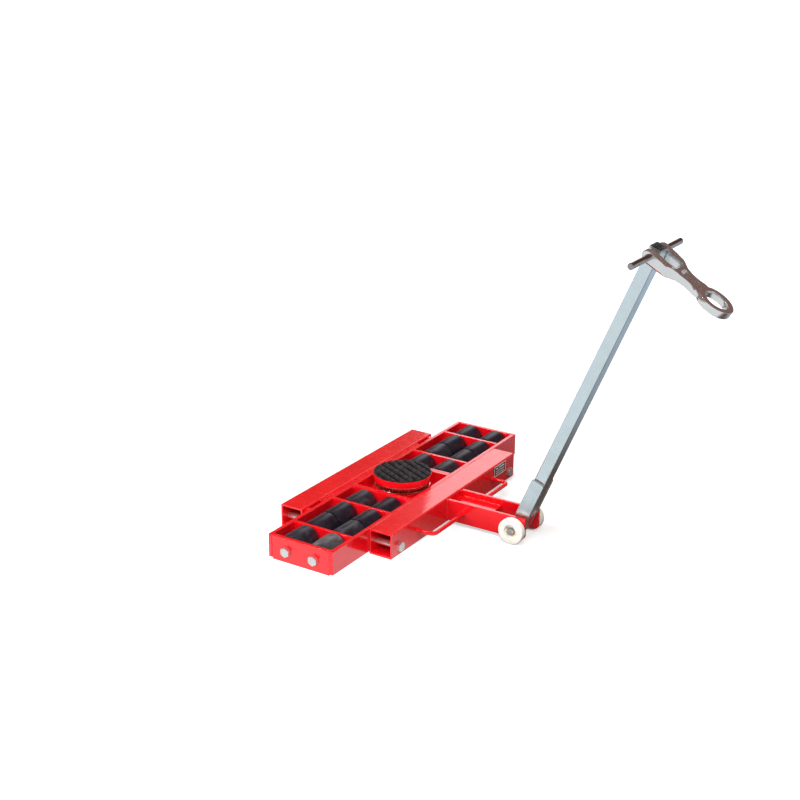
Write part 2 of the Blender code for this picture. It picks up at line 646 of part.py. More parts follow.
# ---------------------------------------------------------------- towing eye
def eye_side_outline():
    """Seen from the side: deep round cheeks that taper to the neck and ring."""
    upper = [*FORK_TAPER, (NECK_START, NECK_HALF)]
    tip = RING_ALONG + RING_RADIUS + 0.01
    lower = [(x, -z) for x, z in reversed(upper)]
    return arc((0, 0), FORK_RADIUS, 90, 270, 8)[::-1] + upper + [(tip, NECK_HALF), (tip, -NECK_HALF)] + lower


def eye_plan_outline():
    """Seen from above: the fork's width, a waist, and the ring."""
    waist = [(-0.03, FORK_OUTER), *WAIST]
    ring = arc((RING_ALONG, 0), RING_RADIUS, 140, -140, 20)
    return waist + ring + [(x, -y) for x, y in reversed(waist)]


def towing_eye(drawbar_frame):
    at = Vector((TBAR_FORWARD, 0, TBAR_ALONG))
    turn = EYE_ANGLE - (math.pi / 2 - DRAWBAR_ANGLE)
    frame = pivot_empty("eye_pivot", at, turn, drawbar_frame)
    side = upright_plate("towing_eye", [eye_side_outline()], -0.06, 0.06, None, parent=frame)
    eye = curve_to_mesh(side)
    eye.data.materials.append(ZINC)
    plan_curve = outline_curve("eye_plan", [eye_plan_outline()], 0.08)
    plan = place("eye_plan", plan_curve, None, parent=frame, collection=cutters)
    cut(eye, curve_to_mesh(plan), "INTERSECT")
    corner_x, corner_y = FORK_ROOT - SLOT_RADIUS, FORK_INNER - SLOT_RADIUS
    slot_loop = [(-0.04, -FORK_INNER)]
    slot_loop += arc((corner_x, -corner_y), SLOT_RADIUS, -90, 0, 3)
    slot_loop += arc((corner_x, corner_y), SLOT_RADIUS, 0, 90, 3)
    slot_loop += [(-0.04, FORK_INNER)]
    slot = place("fork_slot", outline_curve("fork_slot", [slot_loop], 0.08), None, parent=frame, collection=cutters)
    cut(eye, curve_to_mesh(slot))
    cut_rod(eye, "eye_tbar_bore", TBAR_RADIUS + CLEAR, (0, -0.06, 0), (0, 0.06, 0), "Y", parent=frame)
    start, end = (RING_ALONG, 0, -0.03), (RING_ALONG, 0, 0.03)
    cut_rod(eye, "ring_bore", RING_BORE, start, end, "Z", WHEEL_SIDES, parent=frame)
    pocket_start, pocket_end, half = POCKET
    for name, low_z, high_z in (("pocket_top", POCKET_WEB, 0.03), ("pocket_bottom", -0.03, -POCKET_WEB)):
        cut_box(eye, name, (pocket_start, -half, low_z), (pocket_end, half, high_z), parent=frame)


cassette_plates()
cross_plates()
axles_and_rollers()
turntable()
tubes()
arms()
pivot_axle()
support_wheels()
handles()
towing_eye(drawbar())
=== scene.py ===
"""The looks of a steerable machine skate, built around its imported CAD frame.

The frame gives every place and size. The pieces made here stand for its plain solids with rounded plates, welds,
turned and forged steel, nylon and rubber. Metres, +Z up.
"""
import json
import math
import random

import bmesh
import bpy
from mathutils import Matrix, Vector


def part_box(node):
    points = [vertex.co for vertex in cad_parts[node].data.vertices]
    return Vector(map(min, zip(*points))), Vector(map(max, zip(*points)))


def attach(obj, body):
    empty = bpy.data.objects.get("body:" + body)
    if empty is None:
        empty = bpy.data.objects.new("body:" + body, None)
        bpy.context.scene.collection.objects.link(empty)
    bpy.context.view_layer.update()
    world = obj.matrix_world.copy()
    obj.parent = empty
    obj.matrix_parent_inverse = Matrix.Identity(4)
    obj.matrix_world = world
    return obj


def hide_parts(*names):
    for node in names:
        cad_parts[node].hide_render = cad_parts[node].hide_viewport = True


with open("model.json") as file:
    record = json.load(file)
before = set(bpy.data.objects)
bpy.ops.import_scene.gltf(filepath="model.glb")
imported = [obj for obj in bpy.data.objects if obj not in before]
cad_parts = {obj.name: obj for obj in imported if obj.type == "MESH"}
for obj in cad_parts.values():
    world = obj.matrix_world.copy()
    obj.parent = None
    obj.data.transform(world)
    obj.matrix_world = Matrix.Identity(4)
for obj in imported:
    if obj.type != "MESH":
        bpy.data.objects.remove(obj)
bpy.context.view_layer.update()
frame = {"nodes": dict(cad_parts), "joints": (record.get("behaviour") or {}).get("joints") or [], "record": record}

ROOT = "cassette_frame"
X, Y, Z = Vector((1, 0, 0)), Vector((0, 1, 0)), Vector((0, 0, 1))
SIDES = {"right": -1, "left": 1}
joints = {j["name"]: j for j in frame["joints"]}
mounts = {m["name"]: m for m in frame["record"]["mounts"]}


# ---------------------------------------------------------------- places read from the frame
def centre(node):
    low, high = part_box(node)
    return (low + high) / 2


def size(node):
    low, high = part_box(node)
    return high - low


def box_end(node, axis, sign):
    """Where a node's box ends along an axis: its high end, or its low one if sign is negative."""
    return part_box(node)[sign > 0]["xyz".index(axis)]


TURN = centre("load_pad")  # on the turntable's axis
PIVOT = Vector(joints["drawbar_tilt"]["pos_m"])
TBAR = Vector(joints["eye_swivel"]["pos_m"])
TBAR_FORWARD = 0.003  # the cross bar stands this far forward of the bar's pivot line
REACH = math.sqrt((TBAR - PIVOT).length_squared - TBAR_FORWARD ** 2)
LEAN = (TBAR - PIVOT).normalized()
ALONG = (Matrix.Rotation(-math.atan2(TBAR_FORWARD, REACH), 3, "Y") @ LEAN).normalized()  # up the drawbar
FORWARD = Y.cross(ALONG).normalized()  # out of the drawbar's front face
RING_TOP, RING_FOOT = [Vector(mounts[f"towing_eye_{face}_face"]["pos_m"]) for face in ("upper", "lower")]
RING = (RING_TOP + RING_FOOT) / 2
RING.y = 0
EYE_ALONG = (RING - TBAR).normalized()
EYE_UP = EYE_ALONG.cross(Y).normalized()


# ---------------------------------------------------------------- node materials
RANGE_SOCKETS = ("From Min", "From Max", "To Min", "To Max")


class Finish:
    """A node material in the making: a Principled shader and what feeds it."""

    def __init__(self, name, colour, roughness, metallic=0.0, **sockets):
        self.material = bpy.data.materials.new(name)
        self.material.use_nodes = True
        self.nodes = self.material.node_tree.nodes
        self.links = self.material.node_tree.links
        self.shader = self.nodes["Principled BSDF"]
        self.shader.inputs["Base Color"].default_value = (*colour, 1)
        self.shader.inputs["Roughness"].default_value = roughness
        self.shader.inputs["Metallic"].default_value = metallic
        for socket, value in sockets.items():
            self.shader.inputs[socket.replace("_", " ")].default_value = value
        self.place = self.nodes.new("ShaderNodeTexCoord").outputs["Object"]

    def stretched(self, scale):
        """Object coordinates, scaled along each axis."""
        mapping = self.nodes.new("ShaderNodeMapping")
        mapping.inputs["Scale"].default_value = scale
        self.links.new(self.place, mapping.inputs["Vector"])
        return mapping.outputs["Vector"]

    def noise(self, scale, detail=4.0, roughness=0.55, vector=None, distortion=0.0):
        noise = self.nodes.new("ShaderNodeTexNoise")
        noise.inputs["Scale"].default_value = scale
        noise.inputs["Detail"].default_value = detail
        noise.inputs["Roughness"].default_value = roughness
        noise.inputs["Distortion"].default_value = distortion
        self.links.new(vector or self.place, noise.inputs["Vector"])
        return noise.outputs["Fac"]

    def ramp(self, value, low, high, to_low=0.0, to_high=1.0):
        step = self.nodes.new("ShaderNodeMapRange")
        step.interpolation_type = "SMOOTHSTEP"
        for socket, number in zip(RANGE_SOCKETS, (low, high, to_low, to_high)):
            step.inputs[socket].default_value = number
        self.links.new(value, step.inputs["Value"])
        return step.outputs["Result"]

    def times(self, one, other):
        product = self.nodes.new("ShaderNodeMath")
        product.operation = "MULTIPLY"
        for socket, value in zip(product.inputs, (one, other)):
            self.links.new(value, socket)
        return product.outputs[0]

    def mix(self, factor, low, high):
        """Colours or values mixed by a factor. Each may be a colour or an output."""
        mix = self.nodes.new("ShaderNodeMix")
        mix.data_type = "RGBA"
        self.links.new(factor, mix.inputs["Factor"])
        for socket, value in ((mix.inputs["A"], low), (mix.inputs["B"], high)):
            if isinstance(value, tuple):
                socket.default_value = (*value, 1)
            else:
                self.links.new(value, socket)
        return mix.outputs["Result"]

    def set(self, socket, output):
        self.links.new(output, self.shader.inputs[socket])
        return self

    def bump(self, *layers):
        return self.set("Normal", self.bumped(*layers))

    def bumped(self, *layers):
        """The normal from height layers of (output, distance in metres), one on top of another."""
        normal = None
        for height, distance in layers:
            bump = self.nodes.new("ShaderNodeBump")
            bump.inputs["Distance"].default_value = distance
            bump.inputs["Strength"].default_value = 1.0
            self.links.new(height, bump.inputs["Height"])
            if normal:
                self.links.new(normal, bump.inputs["Normal"])
            normal = bump.outputs["Normal"]
        return normal


def red_enamel():
    """Thick glossy enamel over plate: slight orange peel, faint drawing lines and a little dust."""
    finish = Finish(
        "red_enamel", (0.78, 0.004, 0.010), 0.25, Coat_Weight=1.0, Coat_Roughness=0.02, Coat_IOR=1.65,
        Specular_IOR_Level=0.25,
    )
    cloud = finish.noise(14, 5)
    tone = finish.mix(finish.ramp(cloud, 0.35, 0.7), (0.82, 0.004, 0.011), (0.74, 0.003, 0.008))
    dust = finish.ramp(finish.noise(230, 6, 0.7), 0.64, 0.80, 0.0, 0.14)
    finish.set("Base Color", finish.mix(dust, tone, (0.60, 0.16, 0.14)))
    finish.set("Roughness", finish.ramp(finish.noise(36, 4), 0.3, 0.75, 0.2, 0.32))
    peel = finish.noise(260, 3, 0.5)
    drawn = finish.noise(9, 3, 0.65, finish.stretched((15, 0.3, 15)))
    normal = finish.bumped((peel, 0.000008), (drawn, 0.00007))
    finish.links.new(normal, finish.shader.inputs["Normal"])
    finish.links.new(normal, finish.shader.inputs["Coat Normal"])
    return finish.material


def roller_nylon(name, dark, scuffed, share):
    """Dark cast nylon with lathe lines round it and pale scuffs. share is how much of it is scuffed."""
    finish = Finish(name, dark, 0.4, 0.0, Specular_IOR_Level=0.45)
    scuffs = finish.noise(34, 8, 0.68, finish.stretched((1, 0.45, 1)), 0.6)
    patches = finish.noise(9, 3, 0.5)
    worn = finish.times(finish.ramp(scuffs, 0.62 - share, 0.86 - share * 0.7), finish.ramp(patches, 0.32, 0.62))
    tone = finish.mix(finish.ramp(finish.noise(60, 3), 0.35, 0.7), dark, tuple(c * 1.5 + 0.006 for c in dark))
    finish.set("Base Color", finish.mix(worn, tone, scuffed))
    finish.set("Roughness", finish.ramp(worn, 0.0, 1.0, 0.34, 0.55))
    lathe_lines = finish.noise(1, 2, 0.5, finish.stretched((0.4, 1400, 0.4)))
    return finish.bump((lathe_lines, 0.00005), (scuffs, 0.00012)).material


def pad_rubber():
    finish = Finish("pad_rubber", (0.02, 0.02, 0.02), 0.62, Specular_IOR_Level=0.4)
    dust = finish.ramp(finish.noise(70, 6, 0.7), 0.45, 0.75)
    worn = finish.mix(dust, (0.010, 0.010, 0.012), (0.064, 0.060, 0.058))
    rust = finish.ramp(finish.noise(25, 3), 0.66, 0.78, 0.0, 0.5)
    finish.set("Base Color", finish.mix(rust, worn, (0.075, 0.045, 0.032)))
    finish.set("Roughness", finish.ramp(dust, 0.0, 1.0, 0.5, 0.8))
    return finish.bump((finish.noise(900, 5, 0.7), 0.00012)).material


def turned_steel(name, colour, roughness, lines, axis_scale):
    """Polished steel with fine lines round it."""
    finish = Finish(name, colour, roughness, 1.0)
    grooves = finish.noise(1, 3, 0.6, finish.stretched(axis_scale))
    smear = finish.noise(30, 5)
    finish.set("Roughness", finish.ramp(smear, 0.3, 0.75, roughness * 0.7, roughness * 1.5))
    finish.set("Base Color", finish.mix(finish.ramp(smear, 0.3, 0.8), colour, tuple(c * 0.86 for c in colour)))
    return finish.bump((grooves, lines)).material


def zinc_plate(name, colour, roughness, grain, lump):
    """Blue-white zinc plating over steel, with faint clouds and drawing lines along the piece."""
    finish = Finish(name, colour, roughness, 0.92)
    clouds = finish.noise(26, 5, 0.6)
    darker = tuple(c * 0.95 for c in colour)
    streaks = finish.noise(1, 4, 0.6, finish.stretched(grain))
    blotch = finish.mix(finish.ramp(clouds, 0.3, 0.75), colour, darker)
    paler = tuple(min(0.95, c * 1.2) for c in colour)
    finish.set("Base Color", finish.mix(finish.ramp(streaks, 0.35, 0.8, 0.0, 0.2), blotch, paler))
    finish.set("Roughness", finish.ramp(clouds, 0.3, 0.75, roughness * 0.75, roughness * 1.35))
    return finish.bump((streaks, 0.00004), (finish.noise(110, 4), lump)).material


def white_nylon():
    finish = Finish(
        "white_nylon", (0.86, 0.86, 0.80), 0.38, Subsurface_Weight=0.25, Subsurface_Scale=0.004,
        Specular_IOR_Level=0.5,
    )
    stain = finish.ramp(finish.noise(38, 5, 0.6), 0.52, 0.8, 0.0, 0.5)
    finish.set("Base Color", finish.mix(stain, (0.90, 0.89, 0.82), (0.76, 0.71, 0.58)))
    finish.set("Roughness", finish.ramp(finish.noise(90, 4), 0.3, 0.7, 0.32, 0.5))
    return finish.bump((finish.noise(520, 4, 0.6), 0.00005)).material


def yellow_zinc():
    finish = Finish("yellow_zinc", (0.72, 0.50, 0.17), 0.35, 1.0)
    rainbow = finish.ramp(finish.noise(240, 3), 0.35, 0.7)
    finish.set("Base Color", finish.mix(rainbow, (0.92, 0.62, 0.16), (0.76, 0.52, 0.20)))
    return finish.bump((finish.noise(700, 3), 0.00004)).material


def bronze():
    finish = Finish("bearing_bronze", (0.58, 0.38, 0.19), 0.3, 1.0)
    oil = finish.ramp(finish.noise(70, 5), 0.4, 0.75)
    finish.set("Base Color", finish.mix(oil, (0.62, 0.42, 0.22), (0.26, 0.17, 0.10)))
    finish.set("Roughness", finish.ramp(oil, 0.0, 1.0, 0.22, 0.42))
    return finish.bump((finish.noise(600, 3), 0.00003)).material


def plate_enamel():
    """The satin dark red ground of the blank data plate."""
    finish = Finish("plate_enamel", (0.10, 0.012, 0.012), 0.4, Specular_IOR_Level=0.25)
    brushed = finish.noise(1, 3, 0.6, finish.stretched((1, 12, 900)))
    finish.set("Base Color", finish.mix(finish.ramp(brushed, 0.3, 0.7), (0.12, 0.013, 0.013), (0.08, 0.010, 0.010)))
    return finish.bump((brushed, 0.00002)).material


def plate_print():
    """White printing ink, a little uneven."""
    finish = Finish("plate_print", (0.92, 0.90, 0.88), 0.45)
    ink = finish.ramp(finish.noise(900, 4), 0.35, 0.7)
    finish.set("Base Color", finish.mix(ink, (0.95, 0.94, 0.92), (0.84, 0.81, 0.79)))
    return finish.bump((ink, 0.00002)).material


RED = red_enamel()
ROLLER_DARK = roller_nylon("roller_nylon_dark", (0.008, 0.007, 0.014), (0.09, 0.09, 0.11), 0.02)
ROLLER_WORN = roller_nylon("roller_nylon_worn", (0.012, 0.011, 0.019), (0.13, 0.13, 0.145), 0.12)
ROLLER_GREY = roller_nylon("roller_nylon_grey", (0.030, 0.030, 0.036), (0.20, 0.20, 0.20), 0.24)
RUBBER = pad_rubber()
RACE = turned_steel("race_steel", (0.95, 0.95, 0.95), 0.24, 0.00005, (0.5, 0.5, 1500))
BRIGHT = turned_steel("bright_steel", (0.74, 0.74, 0.72), 0.16, 0.00004, (700, 0.6, 0.6))
AXLE_STEEL = turned_steel("axle_steel", (0.93, 0.92, 0.90), 0.38, 0.00004, (0.6, 900, 0.6))
DARK_STEEL = turned_steel("cross_bar_steel", (0.34, 0.33, 0.33), 0.2, 0.00005, (0.6, 900, 0.6))
BOLT = zinc_plate("bolt_zinc", (0.84, 0.83, 0.81), 0.36, (60, 60, 60), 0.00010)
ZINC = zinc_plate("zinc_plate", (0.64, 0.74, 0.77), 0.24, (3, 130, 3), 0.000008)
FORGED = zinc_plate("forged_zinc", (0.74, 0.75, 0.75), 0.16, (40, 40, 40), 0.00004)
NYLON = white_nylon()
YELLOW = yellow_zinc()
BRONZE = bronze()
PLATE = plate_enamel()
PRINT = plate_print()


# ---------------------------------------------------------------- pieces
SLIVER = 0.000002  # edges shorter than this are dissolved
MERGE = 0.00002  # points nearer than this become one


def linked(name, data):
    obj = bpy.data.objects.new(name, data)
    bpy.context.scene.collection.objects.link(obj)
    return obj


def piece(name, bm, finish, body, slot, replaced=(), sharp=38, weighted=False):
    """A finished piece from a bmesh: smooth shaded, riding on a body and standing for CAD nodes."""
    bmesh.ops.recalc_face_normals(bm, faces=bm.faces)
    bmesh.ops.dissolve_degenerate(bm, dist=SLIVER, edges=bm.edges[:])
    mesh = bpy.data.meshes.new(name)
    bm.to_mesh(mesh)
    bm.free()
    mesh.materials.append(finish)
    mesh.shade_smooth()
    mesh.set_sharp_from_angle(angle=math.radians(sharp))
    obj = linked(name, mesh)
    if weighted:
        obj.modifiers.new("Weighted normals", "WEIGHTED_NORMAL").keep_sharp = True
    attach(obj, body)
    if replaced:
        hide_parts(*replaced)
    return obj


def stand_in(node, bm, finish, slot, body=ROOT, **shading):
    """The detailed piece that takes one CAD node's place."""
    return piece(f"{node}_look", bm, finish, body, slot, (node,), **shading)


def painted(node, bm, **shading):
    return stand_in(node, bm, RED, "red_paint", **shading)


def fillet(corners, steps=4):
    """A closed outline of (x, y, radius), with an arc at each corner that has a radius."""
    points = []
    for i, (x, y, radius) in enumerate(corners):
        corner = Vector((x, y))
        if not radius:
            points.append(corner)
            continue
        back = (Vector(corners[i - 1][:2]) - corner).normalized()
        ahead = (Vector(corners[(i + 1) % len(corners)][:2]) - corner).normalized()
        half = back.angle(ahead) / 2
        middle = corner + (back + ahead).normalized() * radius / math.sin(half)
        start = (corner + back * radius / math.tan(half) - middle).normalized()
        end = (corner + ahead * radius / math.tan(half) - middle).normalized()
        points += [middle + radius * start.slerp(end, k / steps).normalized() for k in range(steps + 1)]
    return [(p[0], p[1]) for p in points]


def rounded_box(half_width, half_height, radius, steps=4):
    """The outline of a rectangle with round corners."""
    corners = ((-1, -1), (1, -1), (1, 1), (-1, 1))
    return fillet([(x * half_width, y * half_height, radius) for x, y in corners], steps)


def ring_section(inner, outer, low, high, soft_inner, soft_outer, steps=2):
    """The profile of a flat ring. Its inner and outer edges have their own radii."""
    corners = [
        (inner, low, soft_inner), (outer, low, soft_outer), (outer, high, soft_outer), (inner, high, soft_inner),
    ]
    return fillet(corners, steps)


def lathe(bm, profile, origin, axis=Z, sides=72):
    """A closed (radius, height) profile turned about an axis through origin."""
    turn = axis.to_track_quat("Z", "Y")
    rings = []
    for radius, height in profile:
        if radius < 1e-6:
            rings.append([bm.verts.new(origin + turn @ Vector((0, 0, height)))])
            continue
        angles = [2 * math.pi * i / sides for i in range(sides)]
        places = [Vector((radius * math.cos(a), radius * math.sin(a), height)) for a in angles]
        rings.append([bm.verts.new(origin + turn @ p) for p in places])
    bridge_rings(bm, rings + rings[:1])
    return bm


def turned(bm, profile, sides):
    """A closed (radius, height above the floor) profile turned about the turntable's axis."""
    return lathe(bm, [(r, z - TURN.z) for r, z in profile], TURN, Z, sides)


def bridge_rings(bm, rings):
    for one, other in zip(rings, rings[1:]):
        for i in range(max(len(one), len(other))):
            loop = [one[i % len(one)], one[(i + 1) % len(one)], other[(i + 1) % len(other)], other[i % len(other)]]
            corners = list(dict.fromkeys(loop))
            if len(corners) > 2:
                bm.faces.new(corners)


def sweep(bm, points, radii, sides=16, flat=1.0):
    """A round bar that follows points. radii holds one radius a point, and flat squashes its section."""
    points = [Vector(p) for p in points]
    normal = None
    rings = []
    for i, point in enumerate(points):
        ahead = (points[min(i + 1, len(points) - 1)] - points[max(i - 1, 0)]).normalized()
        if normal is None:
            normal = ahead.orthogonal().normalized()
        normal = (normal - ahead * normal.dot(ahead)).normalized()
        side = ahead.cross(normal)
        angles = [2 * math.pi * k / sides for k in range(sides)]
        rings.append([
            bm.verts.new(point + radii[i] * (normal * math.cos(a) * flat + side * math.sin(a))) for a in angles
        ])
    bridge_rings(bm, rings)
    bm.faces.new(rings[0][::-1])
    bm.faces.new(rings[-1])
    return bm


def bar(bm, start, end, radius, chamfer=0.001, sides=32):
    """A straight round bar with chamfered ends."""
    way = (end - start).normalized()
    points = [start, start + way * chamfer, end - way * chamfer, end]
    return sweep(bm, points, [radius - chamfer, radius, radius, radius - chamfer], sides)


def hollow_bar(bm, outer, inner, origin, right, up, along, start, end, chamfer=0.0006):
    """A hollow bar between start and end along a direction. Its two outlines have as many points as each other."""
    def ring(outline, inset, at):
        reach = [max(abs(p[k]) for p in outline) for k in (0, 1)]
        scale = [(r - inset) / r for r in reach]
        return [bm.verts.new(origin + right * x * scale[0] + up * y * scale[1] + along * at) for x, y in outline]

    rings = [
        ring(outer, chamfer, start), ring(outer, 0, start + chamfer), ring(outer, 0, end - chamfer),
        ring(outer, chamfer, end), ring(inner, -chamfer, end), ring(inner, 0, end - chamfer),
        ring(inner, 0, start + chamfer), ring(inner, -chamfer, start),
    ]
    bridge_rings(bm, rings + rings[:1])
    return bm


def plate(bm, outline, holes, origin, right, up, thickness, round_edge=0.0008, steps=1):
    """A flat plate with rounded edges. Its outline and its holes lie in the plane of right and up."""
    curve = bpy.data.curves.new("outline", "CURVE")
    curve.dimensions = "2D"
    curve.fill_mode = "BOTH"
    curve.extrude = thickness / 2 - round_edge
    curve.bevel_depth = round_edge
    curve.bevel_resolution = steps
    curve.offset = -round_edge
    for loop in [outline] + holes:
        spline = curve.splines.new("POLY")
        spline.points.add(len(loop) - 1)
        for point, (x, y) in zip(spline.points, loop):
            point.co = (x, y, 0, 1)
        spline.use_cyclic_u = True
    guide = linked("outline", curve)
    bpy.context.view_layer.update()
    mesh = bpy.data.meshes.new_from_object(guide.evaluated_get(bpy.context.evaluated_depsgraph_get()))
    bpy.data.objects.remove(guide)
    out = right.cross(up)
    mesh.transform(Matrix.Translation(origin) @ Matrix((right, up, out)).transposed().to_4x4())
    first = len(bm.verts)
    bm.from_mesh(mesh)
    bm.verts.ensure_lookup_table()
    bmesh.ops.remove_doubles(bm, verts=bm.verts[first:], dist=MERGE)
    return bm


def circle(radius, x=0.0, y=0.0, sides=48):
    return [
        (x + radius * math.cos(2 * math.pi * i / sides), y + radius * math.sin(2 * math.pi * i / sides))
        for i in range(sides)
    ]


def softened(node, width, segments=3, widened=0):
    """A bmesh of a CAD node with its sharp edges rounded, and both its X faces moved out by widened."""
    bm = bmesh.new()
    bm.from_mesh(frame["nodes"][node].data)
    bmesh.ops.remove_doubles(bm, verts=bm.verts, dist=MERGE)
    middle, half = centre(node).x, size(node).x / 2
    for vert in bm.verts if widened else ():
        offset = vert.co.x - middle
        if abs(abs(offset) - half) < 0.0002:
            vert.co.x += math.copysign(widened, offset)
    bmesh.ops.dissolve_limit(bm, angle_limit=math.radians(1), verts=bm.verts, edges=bm.edges)
    edges = [e for e in bm.edges if len(e.link_faces) == 2 and e.calc_face_angle() > math.radians(30)]
    bmesh.ops.bevel(
        bm, geom=edges, offset=width, offset_type="OFFSET", segments=segments, profile=0.5, affect="EDGES",
        clamp_overlap=True,
    )
    return bm


class Welds:
    """Weld beads of one body, gathered in one mesh."""

    def __init__(self, seed):
        self.bm = bmesh.new()
        self.random = random.Random(seed)

    def bead(self, start, end, radius, ripple=0.0026, flat=1.0):
        """A rippled bead along a straight seam."""
        start, end = Vector(start), Vector(end)
        count = max(4, int((end - start).length / (ripple / 3)))
        self.along([start.lerp(end, i / count) for i in range(count + 1)], radius, ripple, flat)

    def along(self, points, radius, ripple=0.0026, flat=1.0):
        """A bead through points. Its width is drawn at random: a phase, then a number for each point."""
        phase = self.random.random()
        travelled = 0.0
        radii = []
        last = points[0]
        for i, point in enumerate(points):
            travelled += (point - last).length
            last = point
            wave = (travelled / ripple + phase) % 1.0
            shape = 0.90 + 0.14 * math.sqrt(1 - wave) + self.random.uniform(-0.03, 0.03)
            end_taper = min(1.0, 0.55 + 0.25 * min(i, len(points) - 1 - i))
            radii.append(radius * shape * end_taper)
        sweep(self.bm, points, radii, 10, flat)

    def round_seam(self, middle, axis, seam_radius, radius, count=60):
        """A bead round a bar where it meets a plate."""
        side = axis.orthogonal().normalized()
        angles = [math.radians(360 * i / count) for i in range(count + 1)]
        self.along([middle + Matrix.Rotation(a, 3, axis) @ side * seam_radius for a in angles], radius)

    def spatter(self, low, high, count):
        """Small round drops on a flat patch between two corners."""
        low, high = Vector(low), Vector(high)
        for _ in range(count):
            at = Vector([self.random.uniform(a, b) for a, b in zip(low, high)])
            bmesh.ops.create_icosphere(
                self.bm, subdivisions=2, radius=self.random.uniform(0.0005, 0.0012), matrix=Matrix.Translation(at)
            )

    def finish(self, name, body, finish=RED, slot="red_paint"):
        return piece(name, self.bm, finish, body, slot, sharp=70)


def hex_head(bm, at, axis, flats, height, sides=72):
    """A hexagon head with its corners chamfered, standing on at."""
    turn = axis.to_track_quat("Z", "Y")
    half = flats / 2
    chamfer_radius = half * 0.94
    slope = math.tan(math.radians(30))
    dish = 0.0004
    rings = [[], [], [], []]
    for i in range(sides):
        angle = 2 * math.pi * i / sides
        spread = (angle + math.pi / 6) % (math.pi / 3) - math.pi / 6
        corner = half / math.cos(spread)
        levels = (
            (corner, 0), (corner, height - (corner - chamfer_radius) * slope), (chamfer_radius, height),
            (chamfer_radius * 0.6, height - dish),
        )
        for ring, (radius, z) in zip(rings, levels):
            ring.append(bm.verts.new(at + turn @ Vector((radius * math.cos(angle), radius * math.sin(angle), z))))
    bridge_rings(bm, rings)
    bm.faces.new(rings[0][::-1])
    bm.faces.new(rings[-1])


HEAD_SHARE = 0.92  # a real head is a little smaller than the CAD's plain hexagon


def headed_pin(node, axis, out, face, sides):
    """A rod with a hexagon head that stands on a face. out is the head's way along the axis."""
    k = "xyz".index(axis)
    head_at, tip = centre(node), centre(node)
    head_at[k], tip[k] = face, box_end(node, axis, -out)
    flats = min(size(node)[other] for other in range(3) if other != k)
    bm = bar(bmesh.new(), tip, head_at, 0.010, sides=sides)
    hex_head(bm, head_at, (X, Y, Z)[k] * out, flats * HEAD_SHARE, abs(box_end(node, axis, out) - face))
    stand_in(node, bm, BOLT, "bright_steel", sharp=20)
    return head_at


# ---------------------------------------------------------------- cassette frame
CAD_GAP = 0.0003  # the CAD leaves this between parts that touch, and the cross plates here fill it
CROSS_PLATES = {  # how far their edges are rounded, in how many steps
    "end_plate": (0.0022, 3), "outer_divider": (0.0012, 3), "inner_divider": (0.0012, 3), "bay_wall": (0.0005, 2),
}
ROLLER_RELIEF = 0.0012  # how much shorter a turned roller is at each end
INSIDE_BEAD = 0.0021
welds = Welds(3)


def cassette():
    for row in ("front", "rear"):
        node = f"side_plate_{row}"
        painted(node, softened(node, 0.0016), weighted=True)
    for side in SIDES:
        for kind, (width, segments) in CROSS_PLATES.items():
            node = f"{kind}_{side}"
            painted(node, softened(node, width, segments, CAD_GAP), weighted=True)
    for row, out in (("front", 1), ("rear", -1)):
        cassette_welds(f"side_plate_{row}", out)


def cassette_welds(side_plate, out):
    """The welds of one side plate. out is 1 for the front one, whose outer face is towards +X."""
    inner_x = box_end(side_plate, "x", -out)
    seam_x = inner_x + out * 0.0035
    top, inset = box_end(side_plate, "z", 1), 0.0006
    for side, sign in SIDES.items():
        end_y = box_end(side_plate, "y", sign)
        # down the outside corner, then a short run over the top
        corner_y, over_z = end_y - sign * inset, top - 0.0007
        welds.bead((seam_x, corner_y, top - 0.002), (seam_x, corner_y, 0.013), 0.0030, 0.0034, 0.7)
        welds.bead((seam_x, end_y - sign * 0.0015, over_z), (seam_x, end_y - sign * 0.010, over_z), 0.0018)
        # down the inside of the end plate and both faces of every plate between
        seams = [(box_end(f"end_plate_{side}", "y", -sign), -sign)]
        for kind in ("outer_divider", "inner_divider", "bay_wall"):
            seams += [(box_end(f"{kind}_{side}", "y", way), way) for way in (-1, 1)]
        for y, way in seams:
            at = Vector((inner_x - out * inset, y + way * inset, 0))
            welds.bead(at + Z * 0.050, at + Z * (top - 0.0016), INSIDE_BEAD, 0.0030)


def rollers():
    looks = {
        "roller_front_right_4": ROLLER_GREY, "roller_front_right_3": ROLLER_WORN, "roller_rear_right_4": ROLLER_WORN,
        "roller_front_left_1": ROLLER_WORN, "roller_rear_left_2": ROLLER_WORN, "roller_rear_right_1": ROLLER_WORN,
    }
    for node in [n for n in frame["nodes"] if n.startswith("roller_")]:
        radius, half = size(node).z / 2, size(node).y / 2 - ROLLER_RELIEF
        half_profile = [
            (0.0105, half - 0.0008, 0.0003), (0.0165, half - 0.0008, 0.0003), (0.0175, half, 0.0004),
            (radius, half, 0.0034),
        ]
        mirrored = [(r, -h, f) for r, h, f in reversed(half_profile)]
        bm = lathe(bmesh.new(), fillet(half_profile + mirrored, 5), centre(node), Y, 96)
        stand_in(node, bm, looks.get(node, ROLLER_DARK), "roller_nylon", node, sharp=40)


def axles():
    for node in [n for n in frame["nodes"] if n.startswith("axle_")]:
        side, sign = ("left", 1) if box_end(node, "y", 1) > 0 else ("right", -1)
        head_at = headed_pin(node, "y", sign, box_end(f"end_plate_{side}", "y", sign), 32)
        # a tack of weld keeps each head from turning
        tack_at = head_at + Vector((0.0125, sign * 0.0008, 0.0085))
        welds.bead(tack_at - X * 0.002, tack_at + Vector((0.002, 0, -0.003)), 0.0022, 0.004)


# ---------------------------------------------------------------- turntable
BALL_TRACK = 0.070  # the radius of the ball race
SPIGOT_HOLE = 0.0155
GREASE_HOLE = 0.004


